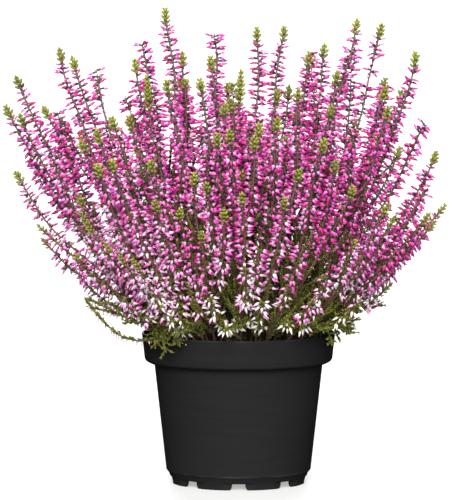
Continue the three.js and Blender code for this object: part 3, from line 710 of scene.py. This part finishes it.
def notch_ways_through():
    """The bell-shaped way through the foot ring behind each notch, from a little under the ground."""
    bm = bmesh.new()
    half = bent([(THROUGH_BOTTOM / 2, -1), (THROUGH_TOP / 2, 0), (THROUGH_TOP / 2, THROUGH_HEIGHT)], 9)
    outline = [*half, *half[::-1] * [-1, 1]]
    inner = FOOT_RADIUS - 2 * FOOT_RING_WIDTH
    face = bm.faces.new([bm.verts.new((inner, width, height)) for width, height in outline])
    out = bmesh.ops.extrude_face_region(bm, geom=[face])["geom"]
    bmesh.ops.translate(bm, verts=[item for item in out if isinstance(item, bmesh.types.BMVert)],
                        vec=(3 * FOOT_RING_WIDTH, 0, 0))
    return eight_times(bm)


def drain_holes():
    bm = bmesh.new()
    bmesh.ops.create_cone(bm, cap_ends=True, segments=24, radius1=DRAIN_RADIUS, radius2=DRAIN_RADIUS,
                          depth=20)
    bmesh.ops.translate(bm, verts=bm.verts, vec=(DRAIN_CIRCLE, 0, 0))
    return eight_times(bm)


def make_pot():
    ring_inside = FOOT_RADIUS - FOOT_RING_WIDTH
    floor = BASE_UNDERSIDE + BASE_THICKNESS
    top = POT_HEIGHT - LIP_ROUND
    middle = RIM_RADIUS - WALL / 2
    profile = [
        (0, BASE_UNDERSIDE), (ring_inside, BASE_UNDERSIDE), (ring_inside, 0.2), (ring_inside + 0.2, 0),
        (FOOT_RADIUS - 0.3, 0), (FOOT_RADIUS, 0.3), (FOOT_RADIUS, FOOT_EDGE),
        (CHAMFER_RADIUS, CHAMFER_BOTTOM),
        *pot_side(0, 8), *arc(middle, top, WALL / 2, 0, 180, 8), *reversed(pot_side(WALL, 4)),
        (BODY_FOOT_RADIUS - 2 * WALL, floor), (0, floor),
    ]
    pot = object_of(turned(profile, POT_STEPS), "pot_shell")
    for cutter in (notch_recesses, notch_ways_through, drain_holes):
        tool = object_of(cutter(), cutter.__name__)
        cut = pot.modifiers.new(tool.name, "BOOLEAN")
        cut.operation, cut.solver, cut.object = "DIFFERENCE", "EXACT", tool
    mesh = bpy.data.meshes.new_from_object(pot.evaluated_get(bpy.context.evaluated_depsgraph_get()))
    for item in [pot] + [cut.object for cut in pot.modifiers]:
        bpy.data.objects.remove(item)
    bm = bmesh.new()
    bm.from_mesh(mesh)
    bmesh.ops.remove_doubles(bm, verts=bm.verts, dist=1e-3)
    whole = Pieces()
    whole.body(bm)
    made = whole.make("nursery_pot", [PLASTIC], sharp=28)
    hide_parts("pot")


# ---- Peat ----

def mound(radius):
    """How far the peat's top rises, at a distance from the axis."""
    return MOUND_HEIGHT * rises(radius, MOUND_FOOT, MOUND_FLAT)


def make_peat():
    """The peat fills the pot; its top is lumpy and strewn with crumbs and bits of fibre."""
    wall = pot_side(WALL + SEAT_GAP, 3)
    bottom = BASE_UNDERSIDE + BASE_THICKNESS + SEAT_GAP
    edge = RIM_RADIUS - WALL - SEAT_GAP - 0.4
    rings = [(edge * (1 - (ring / PEAT_RINGS) ** 1.15), PEAT_TOP - 0.4) for ring in range(1, PEAT_RINGS)]
    bm = turned([(0, bottom), (wall[0][0] - WALL, bottom), *wall, (edge, PEAT_TOP - 1.5), *rings,
                 (0, PEAT_TOP - 0.4)], PEAT_STEPS)
    for vert in bm.verts:
        if vert.co.z > PEAT_TOP - 1:
            low = noise.noise(vert.co * 0.11) * 1.1
            fine = noise.noise(vert.co * 0.5) * 0.7 + noise.noise(vert.co * 1.3) * 0.35
            vert.co.z += low + fine + mound(vert.co.xy.length)
    whole = Pieces()
    whole.body(bm)
    rng = random.Random(77)

    def spot(reach):
        angle, radius = rng.uniform(0, 2 * math.pi), reach * math.sqrt(rng.random())
        return radius * math.cos(angle), radius * math.sin(angle), PEAT_TOP + mound(radius)
    crumbs, fibres = [], []
    for _ in range(CRUMBS):
        x, y, z = spot(edge - 1.5)
        size = 0.35 + 1.1 * rng.random() ** 2.5
        place = (x, y, z - 0.6 + rng.uniform(-0.3, 0.6))
        way = (rng.gauss(0, 1), rng.gauss(0, 1), rng.gauss(0, 1))
        crumbs.append((place, way, 0, size, size * rng.uniform(0.6, 1), size * 1.8, 0, 0))
    for _ in range(FIBRES):
        x, y, z = spot(edge - 8)
        way = (rng.gauss(0, 1), rng.gauss(0, 1), rng.gauss(0, 0.15))
        fibres.append(((x, y, z + 0.2), way, 0, 0.3, 0.25, rng.uniform(3, 7), 0, rng.random()))
    whole.stamp(CRUMB, 0, crumbs)
    whole.stamp(CUP, 1, fibres)
    made = whole.make("peat_fill", [PEAT, BRACT])
    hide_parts("peat")


# ---- Courses of stems and sprays ----

def seeded(seed):
    """The same repeatable numbers from 0 to 1 as the solids are drawn with."""
    state = seed

    def draw():
        nonlocal state
        state = (state + 0x6D2B79F5) & 0xFFFFFFFF
        value = (state ^ (state >> 15)) * (state | 1) & 0xFFFFFFFF
        value ^= (value + ((value ^ (value >> 7)) * (value | 61) & 0xFFFFFFFF)) & 0xFFFFFFFF
        return ((value ^ (value >> 14)) & 0xFFFFFFFF) / 4294967296
    return draw


def fan(up):
    """How far the fan of stems has opened at a height above the peat."""
    return 1 + SPREAD * (1 - np.exp(-np.maximum(0, up - STRAIGHT) / SPREAD_HEIGHT))


def seat_of(tip):
    """Where the line down the fan from a tip comes to the peat."""
    return np.array(tip[:2]) / fan(tip[2] - PEAT_TOP)


class Line:
    """A course through points, with the distance along it."""

    def __init__(self, points):
        self.points = points
        self.reach = np.concatenate([[0], np.cumsum(np.linalg.norm(np.diff(points, axis=0), axis=1))])
        self.length = self.reach[-1]

    def at(self, distance):
        return Vector([np.interp(distance, self.reach, self.points[:, axis]) for axis in range(3)])

    def at_height(self, level):
        """How far along it comes to a height."""
        return float(np.interp(level, self.points[:, 2], self.reach))

    def along(self, distance):
        return (self.at(distance + 1) - self.at(distance - 1)).normalized()

    def frame(self, distance):
        """The place, and the directions along it and to two sides."""
        along = self.along(distance)
        side = Vector((0, 1, 0)) if abs(along.y) < 0.8 else Vector((1, 0, 0))
        side = (side - along * side.dot(along)).normalized()
        return self.at(distance), along, side, along.cross(side)


def course(root_seat, tip, draw):
    """A stem's place at each height above the peat, from its root's seat to its tip's, swaying a little."""
    height = tip[2] - PEAT_TOP
    tip_seat = seat_of(tip)
    angle = draw() * 2 * math.pi
    sway = (1 + 1.6 * draw()) * min(1, height / 100)

    def place(up):
        share = np.clip((up - STRAIGHT) / (height - STRAIGHT), 0, 1)
        seat = (root_seat + (tip_seat - root_seat) * smooth(share)[:, None]) * fan(up)[:, None]
        bow = sway * np.sin(math.pi * share)
        return np.column_stack([seat[:, 0] + bow * math.cos(angle), seat[:, 1] + bow * math.sin(angle),
                                PEAT_TOP + up])
    return place


def wander(rng):
    """A slight sideways wander of a stem with height, none at its foot."""
    waves = [(rng.uniform(26, 60), rng.uniform(0, 2 * math.pi), rng.uniform(0.5, 1)) for _ in range(4)]

    def aside(up):
        grown = WANDER * rises(up, 8, 58)
        parts = [size * grown * np.sin(up / span * math.pi + phase) for span, phase, size in waves]
        return np.column_stack([parts[0] + 0.5 * parts[1], parts[2] + 0.5 * parts[3], 0 * up])
    return aside


def stem_lines(index, tips):
    """The courses of a stem's spikes: the main one from its root, each side one from the main one."""
    draw = seeded(1000 + index)
    rng = random.Random(2000 + index)
    main_aside = wander(rng)
    seat = seat_of(tips[0])
    seat = seat * min(1, STEM_REACH / max(TINY, np.linalg.norm(seat)))
    main = course(seat, tips[0], draw)
    up = np.linspace(-ROOT_DEPTH, tips[0][2] - PEAT_TOP, 90)
    lines = [Line(main(up) + main_aside(up))]
    for tip in tips[1:]:
        height = tip[2] - PEAT_TOP
        start = SIDE_START * height
        own = course(seat_of(tip), tip, draw)
        up = np.linspace(start, height, 70)
        share = smooth((up - start) / (SIDE_BEND * height))[:, None]
        lines.append(Line((main(up) + main_aside(up)) * (1 - share) + (own(up) + wander(rng)(up)) * share))
    return lines


# ---- Plant ----

class Growth:
    """What grows on one piece: the lines of its stalks and twigs, and the rows of its small shapes."""

    def __init__(self):
        self.stalks, self.twigs, self.buds, self.cups, self.lobes, self.leaves = [], [], [], [], [], []

    def stalk(self, line, radii):
        """A stalk all along a line, with its radius at even steps."""
        places = np.linspace(0, line.length, len(radii))
        self.stalks.append(([line.at(place) for place in places], radii))

    def make(self, name, tint, twig_tint):
        whole = Pieces()
        whole.tubes(PLANT.index(BARK), self.stalks, 1, 0.0, tint)
        whole.tubes(PLANT.index(BARK), self.twigs, 0, 1.0, twig_tint)
        whole.stamp(BUD, PLANT.index(PETAL), self.buds)
        whole.stamp(CUP, PLANT.index(BRACT), self.cups)
        whole.stamp(LOBE, PLANT.index(LEAF), self.lobes)
        whole.stamp(SCALE_LEAF, PLANT.index(LEAF), self.leaves)
        return whole.make(name, PLANT)


def leafy(growth, line, start, end, rng, length, width, lean, green, pitch=LEAF_PITCH):
    """Pairs of scale leaves along a shoot, each pair a quarter turn on from the last."""
    at, order = start, rng.randrange(4)
    while at < end:
        place, along, side, out = line.frame(at)
        share = (at - start) / max(TINY, end - start)
        for turn in (0, math.pi):
            radial = towards(side, out, order * math.pi / 2 + turn + rng.gauss(0, 0.12))
            way = towards(along, radial, lean * (1 - 0.45 * share) + rng.gauss(0, 0.08))
            size = rng.uniform(0.8, 1.15)
            growth.leaves.append((place + radial * 0.15, way, rng.uniform(-0.3, 0.3), width * size,
                                  width * LEAF_THICKNESS * size, length * size,
                                  unit(green(share) + rng.gauss(0, 0.06)), rng.random()))
        at += pitch * rng.uniform(0.9, 1.1)
        order += 1


def short_twig(growth, start, way, length, rng, bright, lift=0.4):
    """A short leafy shoot that bends up, and is greener where the light reaches it."""
    share = np.linspace(0, 1, 4)[:, None]
    rise = np.array([0, 0, 1]) * lift * rng.uniform(0.5, 1.4)
    line = Line(np.array(start) + np.array(way) * length * share + rise * length * share * share)
    growth.twigs.append((line.points, [TWIG_RADIUS, TWIG_RADIUS, 0.26, 0.14]))
    lit = rises(math.hypot(start[0], start[1]), 28, 60) * (1 - 0.85 * rises(start[2], 130, 170))
    leafy(growth, line, 0.8, line.length, rng, 2.1, 0.95, 0.52,
          lambda share: 0.06 + 0.14 * lit + (0.34 + bright) * share * share * (0.3 + 0.7 * lit))


def paleness(place, share):
    """From 0, deep pink, to 1, white: the lower on the plant and on its spike, the paler."""
    low_right = rises(place.x, 36, 60) * rises(place.z, 146, 122)
    low_left = rises(place.x, -60, -84) * rises(place.z, 196, 162)
    right = rises(place.x, 28, 63) * (1 - 0.8 * low_right)
    outer = max(right, rises(place.x, -50, -74))
    patch = math.exp(-((place.x + 66) / 26) ** 2) * read_off(place.z, PALE_PATCH)
    return (read_off(place.z, PALE_BELOW) * (1 - 0.6 * outer) + patch * (1 - 0.3 * outer)
            + 0.12 * (1 - share) * (1 - outer) + 0.2 * low_right + 0.2 * low_left)


def open_air(place):
    """The share of clusters that bear flowers: none in the shade inside the plant, all outside it."""
    lowest = read_off(math.hypot(place.x, place.y), SHADE_TOP)
    lowest -= 24 * rises(place.x, -45, -70)  # it is lighter at the left
    # a hollow in the front, left of the middle
    hollow = math.exp(-((place.x + 27) / 10) ** 2) * rises(place.z, 182, 160) * rises(place.y, 10, -10)
    return rises(place.z, lowest - 7, lowest + 7) * (1 - 0.62 * hollow)


def flowers(growth, line, start, end, rng, shift, density=1.0, closed=True, wild=0.22, shaded=True):
    """Clusters of buds on short stalks, in pairs that turn on up the spike, each over small leaves.

    shift makes them paler, density is the share of clusters that flower below the end, closed gives the end
    young buds, wild is how far they stray, and shaded leaves them out where the plant shades itself.
    """
    at, order = start, rng.randrange(4)
    twist = math.pi / 2 + rng.gauss(0, 0.3)
    while at < end:
        share = (at - start) / max(TINY, end - start)
        young = rises(at, end - YOUNG_LENGTH, end) if closed else 0.0
        bearing = density + (1 - density) * rises(share, 0.85, 0.95)
        for turn in (0, math.pi):
            place, along, side, out = line.frame(at + rng.uniform(-0.8, 0.8))
            low = 1 - rises(place.z, 105, 175)
            splay = WHORL_SPLAY + 0.5 * abs(along.x)  # leaning spikes flower all round
            angle = twist + (splay if order % 2 else -splay) + turn + rng.gauss(0, 0.26)
            if young > 0.5:
                count = 1
            elif rng.random() < low:
                count = rng.choice((0, 1, 1, 2, 2))
            else:
                count = rng.choice((1, 1, 2, 2, 2))
            if rng.random() > bearing * (open_air(place) if shaded else 1):
                count = 0
            spread = rng.uniform(-0.25, 0.25)
            for number in range(count):
                fan_out = number - (count - 1) / 2
                heading = towards(side, out, angle + fan_out * 0.7 + rng.gauss(0, 0.2))
                rise = spread + rng.gauss(0, wild) + fan_out * rng.choice((-0.45, 0.45)) + 0.5 * young
                stalk_way = (heading + along * (rise * 0.8 + 0.25)).normalized()
                stalk = STALK_LENGTH * rng.uniform(0.6, 1.3) * (1 - 0.45 * young)
                foot = place + along * (fan_out * rng.uniform(-0.6, 0.6))
                joint = foot + stalk_way * (0.35 + stalk)
                droop = (0.1 + 0.5 * low) * (1 - young) + rng.gauss(0, 0.14)
                way = (heading + along * rise - Vector((0, 0, droop))).normalized()
                size = rng.uniform(0.8, 1.12) * (1 - 0.32 * young)
                pale = unit(paleness(place, share) + shift + rng.gauss(0, 0.13))
                radius = BUD_RADIUS * size * (1 - 0.14 * low)
                seed = rng.random()
                growth.buds.append((joint, way, rng.uniform(-0.6, 0.6), radius, radius, BUD_LENGTH * size,
                                    pale, seed))
                # the cup runs from the spike to round the bud's foot, and is larger under a pink bud
                cup = (0.84 - 0.26 * pale) * size
                cup_length = (joint - foot).length + (1.05 - 0.4 * pale) * size
                growth.cups.append((foot, joint - foot + way * 0.8, 0, cup, cup, cup_length, pale * 0.6,
                                    seed))
            radial = towards(side, out, angle)
            for _ in range(1 + (rng.random() < 0.3 + 0.7 * low) + (rng.random() < low)):
                tilt = rng.uniform(0.4, 1.1)
                aside = radial + Vector((rng.gauss(0, 0.45), rng.gauss(0, 0.45), rng.gauss(0, 0.2)))
                growth.leaves.append((place + radial * 0.3 + along * rng.uniform(-0.8, 0.8),
                                      towards(along, aside, tilt), 0, 0.62 + 0.2 * low, 0.4 + 0.1 * low,
                                      rng.uniform(1.8, 3.0) * (1 + 0.25 * low),
                                      unit(0.05 + 0.62 * low + rng.gauss(0, 0.13)), rng.random()))
        at += WHORL_PITCH * rng.uniform(0.85, 1.18) * (1 + 0.18 * low)
        order += 1


def green_end(growth, line, start, rng, fresh):
    """The leafy tip of a spike: short fat lobes in pairs, like a tiny fir, smaller on low spikes."""
    small = 0.78 + 0.3 * rises(line.points[-1][2], 150, 210)
    at, order = start, rng.randrange(2)
    while at < line.length - 1.2:
        place, along, side, out = line.frame(at)
        share = (at - start) / (line.length - start)
        for turn in (0, math.pi):
            radial = towards(side, out, order * math.pi / 2 + turn + rng.gauss(0, 0.15))
            way = towards(along, radial, 0.85 - 0.4 * share + rng.gauss(0, 0.08))
            swell = 0.85 + 0.45 * math.sin(math.pi * min(1, share * 1.1 + 0.15))
            size = small * swell * rng.uniform(0.88, 1.12)
            growth.lobes.append((place + radial * 0.2, way, 0, 0.98 * size, 0.8 * size, LOBE_LENGTH * size,
                                 min(1, fresh + 0.4 * share + rng.gauss(0, 0.1)), rng.random()))
        at += LOBE_PITCH
        order += 1
    place, along, *_ = line.frame(line.length - 2.2)
    growth.lobes.append((place, along, 0, 0.85 * small, 0.85 * small, 2.9, 0.9, rng.random()))


def lowest_flowers(tip):
    """Where the flowers of a spike may start, as a share of it: lower on low spikes at the plant's edge."""
    left, right = tip[0] < LEFT_EDGE, tip[0] > RIGHT_EDGE
    if (left or right) and tip[2] < LOW_TIP:
        return 0.3 if right else 0.22
    return 0.32 if (left or right) and math.hypot(tip[0], tip[1]) > FAR_OUT else 0.44


def grow_spike(growth, index, order, line, tip, rng, shift):
    """One spike of a stem, the main one or a side one: leafy below, then in flower, with a green end."""
    rooted = 0 if order else ROOT_DEPTH  # how much of its line is in the peat
    green = tip[3] if len(tip) > 3 else TIP_LENGTH
    flowering = min(FLOWER_LONGEST, FLOWER_SHARE * (tip[2] - PEAT_TOP))
    if order:
        flowering = min(flowering, line.length - ROOT_DEPTH)
    end = line.length - (POINT_LENGTH + green if green else 0.5)
    start = max(rooted + 10, min(line.length - flowering, line.length * lowest_flowers(tip)))
    if (index, order) in BARE_BELOW:
        start = line.at_height(BARE_BELOW[index, order])
    foot = STEM_RADIUS if order else ROOT_RADIUS
    radii = foot + (TOP_RADIUS - foot) * np.linspace(0, 1, 26) ** 0.55
    radii[-1] = 0.2
    growth.stalk(line, radii)
    flowers(growth, line, start, end, rng, shift, SPARSE.get((index, order), 1.0), green > 0)
    if green > 0:
        green_end(growth, line, end - 0.6, rng, rng.uniform(0.22, 0.52))
    # small leaves along the bare part
    if start > rooted + 14:
        leafy(growth, line, rooted + 6, start + 4, rng, 2.4, 0.6, 0.6,
              lambda share: 0.15 + 0.2 * share, pitch=2.4)
    # leafy twigs round the lower part, well inside the dome of flowers
    lowest, highest = PEAT_TOP + 6, min(TWIGS_UP_TO, tip[2] - 45)
    for _ in range(SIDE_TWIGS if order else MAIN_TWIGS):
        level = lowest + (highest - lowest) * rng.random() ** 1.2
        at = line.at_height(level)
        if at < 2 or level > highest:
            continue
        place, along, side, out = line.frame(at)
        if math.hypot(place.x, place.y) > read_off(place.z, TWIG_REACH):
            continue
        radial = towards(side, out, rng.uniform(0, 2 * math.pi))
        way = towards(along, radial, rng.uniform(0.3, 0.9))
        short_twig(growth, place, way, rng.uniform(9, 20), rng, rng.random() ** 2 * 0.5)


def grow_between(growth, main, tip, rng, shift):
    """Shorter flowering shoots between the spikes: they turn into the plant or along its edge."""
    side_stem = tip[0] < LEFT_EDGE or tip[0] > RIGHT_EDGE
    low_stem = side_stem and tip[2] < LOW_STEM
    if low_stem:
        shoots = 3
    elif tip[1] < FRONT_EDGE and tip[2] < LOW_STEM:
        shoots = 0
    else:
        shoots = 2 if tip[0] > 20 or tip[0] < -100 else 1
    # more shoots on the stems in the middle, so that flowers stand there too
    inner_shoots = 2 if math.hypot(tip[0], tip[1]) < MIDDLE else 0
    for number in range(shoots + inner_shoots):
        share = rng.uniform(0.2, 0.5) if low_stem else rng.uniform(0.45, 0.65)
        if number < inner_shoots:
            share = rng.uniform(0.36, 0.52)
            turn = rng.uniform(-math.pi, math.pi)
        else:
            turn = rng.uniform(-2.4, 2.4) if side_stem else rng.uniform(-1.3, 1.3)
        place, along, *_ = main.frame(main.length * share)
        inward = math.atan2(-place.y, -place.x) + turn
        heading = Vector((math.cos(inward), math.sin(inward), 0))
        length = min(rng.uniform(34, 58) if low_stem else rng.uniform(42, 62), (tip[2] - place.z) * 0.75)
        if length < SHORTEST_SHOOT:
            continue
        bend = np.linspace(0, 1, 14)[:, None]
        shoot = Line(np.array(place) + length * (np.array(along) * bend * 0.9
                     + np.array(heading) * 0.42 * bend * (1.3 - 0.5 * bend)
                     + np.array([0, 0, 0.16]) * bend ** 2))
        top = shoot.at(shoot.length)
        if math.hypot(top.x, top.y) > read_off(top.z, DOME_REACH):
            continue
        growth.stalk(shoot, np.linspace(0.55, 0.3, 10))
        green = rng.random() < 0.35
        flowers(growth, shoot, shoot.length * 0.25, shoot.length - (5 if green else 0.5), rng, shift,
                closed=green)
        if green:
            green_end(growth, shoot, shoot.length - 6, rng, rng.uniform(0.35, 0.65))


def make_stem(index, tips):
    rng = random.Random(300 + index)
    growth = Growth()
    shift = rng.uniform(-0.2, 0.22)
    lines = stem_lines(index, tips)
    for order, (line, tip) in enumerate(zip(lines, tips)):
        grow_spike(growth, index, order, line, tip, rng, shift)
    grow_between(growth, lines[0], tips[0], rng, shift)
    for *points, bare in LOW_SHOOTS.get(index, ()):
        shoot = Line(bent(points, 16))
        growth.stalk(shoot, np.linspace(0.6, 0.3, 12))
        flowers(growth, shoot, shoot.length * bare, shoot.length, rng, 0.12, closed=False, shaded=False)
    name = f"stem_{index + 1:02d}"
    made = growth.make(f"flowering_{name}", rng.random(), rng.random())
    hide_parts(name)


def spray_lines(root, bow, tip):
    """The courses of a spray's twigs, as its solid has them: the main one and the two that leave it."""
    start = np.array([*root, PEAT_TOP - ROOT_DEPTH], float)
    collar = np.array([*root, PEAT_TOP + STRAIGHT], float)
    tip = np.array(tip, float)
    over = collar + (tip - collar) * BOW_PLACE
    over[2] = bow
    main = Line(np.concatenate([[start], bent((collar, over, tip), 60)]))
    lines = [main]
    leafy_length = main.length - ROOT_DEPTH - STRAIGHT
    for place, part, turn in TWIGS:
        at = ROOT_DEPTH + STRAIGHT + leafy_length * place
        along = main.along(at)
        aside = Vector((-along.y, along.x, 0)).normalized()
        heading = along + aside * turn
        heading.z = max(0, along.z) + TWIG_CURVE
        heading.normalize()
        length = leafy_length * part
        lines.append(Line(np.array([
            main.at(at) + heading * length * share + along * TWIG_CURVE * length * share * share
            for share in np.linspace(0, 1, 12)
        ])))
    return lines


def over_rim(line, share, end):
    """A twig that leaves a spray and bows over to an end near the rim."""
    place, *_ = line.frame(ROOT_DEPTH + STRAIGHT + (line.length - ROOT_DEPTH - STRAIGHT) * share)
    over = (np.array(place) + end) / 2
    over[2] = max(place.z, POT_HEIGHT + 10)
    return Line(bent((place, over, end), 12))


def grow_leafy_twig(growth, line, start, rng, thin):
    """Small clumps of leaves along a twig, left and right in turn; a thin one also has a few pale buds."""
    at, side_sign = start, 1
    leafy(growth, line, at - 3, line.length, rng, 2.2, 0.95, 0.8,
          lambda share: 0.36 + 0.3 * share, pitch=1.5)
    while at < line.length - 1.5:
        place, along, *_ = line.frame(at)
        aside = Vector((-along.y, along.x, 0)).normalized() * side_sign
        way = (along + aside * rng.uniform(0.6, 1.2) + Vector((0, 0, rng.uniform(-0.3, 0.5)))).normalized()
        length = rng.uniform(3, 5.8) if thin else rng.uniform(3.5, 7.5)
        short_twig(growth, place, way, length, rng, 0.1 + rng.random() * (0.5 if thin else 0.3), 0.15)
        if thin and rng.random() < 0.7:
            hang = (aside * 0.4 - Vector((0, 0, 1))).normalized()
            growth.buds.append((place + hang * 0.7, hang, 0, 0.65, 0.65, 2.9, 0.6, rng.random()))
            growth.cups.append((place, hang, 0, 0.4, 0.4, 1.2, 0.6, rng.random()))
        at += rng.uniform(1.6, 3.0) if thin else rng.uniform(1.5, 2.5)
        side_sign = -side_sign


def make_spray(index, root, bow, tip):
    rng = random.Random(900 + index)
    growth = Growth()
    lines = spray_lines(root, bow, tip)
    kinds = ["white" if index == WHITE_SPRAY else "leafy"] + ["leafy"] * len(TWIGS)
    if index == LONG_TWIG_SPRAY:
        lines.append(Line(bent(LONG_TWIG, 40)))
        kinds.append("long")
    for kind, ends in (("white", WHITE_TWIGS), ("leafy", HANGING)):
        for share, end in ends.get(index, ()):
            lines.append(over_rim(lines[0], share, end))
            kinds.append(kind)
    for order, (line, kind) in enumerate(zip(lines, kinds)):
        first = 1 if order else ROOT_DEPTH + STRAIGHT
        growth.stalk(line, np.linspace(0.42 if order else 0.7, 0.25, 16))
        if kind == "white":
            flowers(growth, line, max(first, line.length - rng.uniform(7, 11)), line.length, rng, 0.8,
                    closed=False, wild=0.5, shaded=False)
            leafy(growth, line, first, line.length, rng, 2.5, 0.9, 0.8,
                  lambda share: 0.5 + 0.4 * share, pitch=1.7)
        else:
            # the long twig is bare where it passes over the rim
            bare = 22 if kind == "long" else 4
            grow_leafy_twig(growth, line, first + bare, rng, thin=kind == "long" or index == 0)
    name = f"spray_{index + 1}"
    made = growth.make(f"leafy_{name}", rng.random(), rng.random())
    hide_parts(name)


def rising(growth, rng, angle, radius, height, lean, sway, power, radii):
    """A shoot that comes up from the peat and leans outward, the more the higher."""
    outward = np.array([math.cos(angle), math.sin(angle), 0])
    share = np.linspace(0, 1, len(radii))[:, None]
    wobble = np.array([rng.gauss(0, sway), rng.gauss(0, sway), 0])
    line = Line(outward * radius + [0, 0, PEAT_TOP - 1.5] + np.array([0, 0, height]) * share
                + (outward * lean * height + wobble) * share ** power)
    growth.twigs.append((line.points, radii))
    return line


def twigs_round(growth, line, rng, count, reach, lean, lengths, bright):
    """Short twigs all round a shoot; reach is where they leave it, as shares of its length."""
    for _ in range(count):
        place, along, side, out = line.frame(line.length * rng.uniform(*reach))
        way = along * lean[0] + towards(side, out, rng.uniform(0, 2 * math.pi)) * lean[1]
        short_twig(growth, place, way, rng.uniform(*lengths), rng, bright)


def make_young_shoots():
    """Leafy shoots that come up between the stems, close to the peat, and hide their bare feet."""
    for quarter, name in enumerate(("right", "back", "left", "front")):
        rng = random.Random(1200 + quarter)
        growth = Growth()
        for _ in range(SHOOTS_PER_QUARTER):
            angle = (quarter + rng.uniform(-0.5, 0.5)) * math.pi / 2
            radius = 54 * rng.random() ** 0.5
            if math.sin(angle) < -0.5 and radius > 42:
                radius -= 16  # the peat shows at the front
            lean = (0.12 + 0.55 * (radius / 56) ** 2) * rng.uniform(0.6, 1.2)
            height = rng.uniform(18, 46) * (1 - 0.25 * radius / 56)
            line = rising(growth, rng, angle, radius, height, lean, 3, 1.6,
                          [0.5, 0.48, 0.45, 0.4, 0.3, 0.15])
            bright = rng.random() ** 2 * 0.5
            leafy(growth, line, 2, line.length, rng, 2.4, 0.85, 0.6,
                  lambda share: 0.1 + (0.42 + bright) * share * share)
            twigs_round(growth, line, rng, 3, (0.25, 0.8), (0.7, 0.7), (7, 14), bright)
        # taller ones in the middle, dark and close, so that no daylight comes through the plant low down
        for _ in range(TALL_SHOOTS_PER_QUARTER):
            angle = (quarter + rng.uniform(-0.5, 0.5)) * math.pi / 2
            radius = 8 + 34 * rng.random() ** 0.7
            line = rising(growth, rng, angle, radius, rng.uniform(58, 96), 0.01 * radius, 5, 1.4,
                          [0.5, 0.5, 0.48, 0.46, 0.42, 0.38, 0.3, 0.15])
            leafy(growth, line, 14, line.length, rng, 2.9, 1.15, 0.62, lambda share: 0.08, pitch=2.1)
            twigs_round(growth, line, rng, 6, (0.35, 0.92), (0.6, 0.8), (10, 18), 0.0)
        growth.make(f"young_shoots_{name}", 0.5, 0.5)


studio()
make_pot()
make_peat()
for index, tips in enumerate(STEMS):
    make_stem(index, tips)
for index, (root, bow, tip) in enumerate(SPRAYS):
    make_spray(index, root, bow, tip)
make_young_shoots()
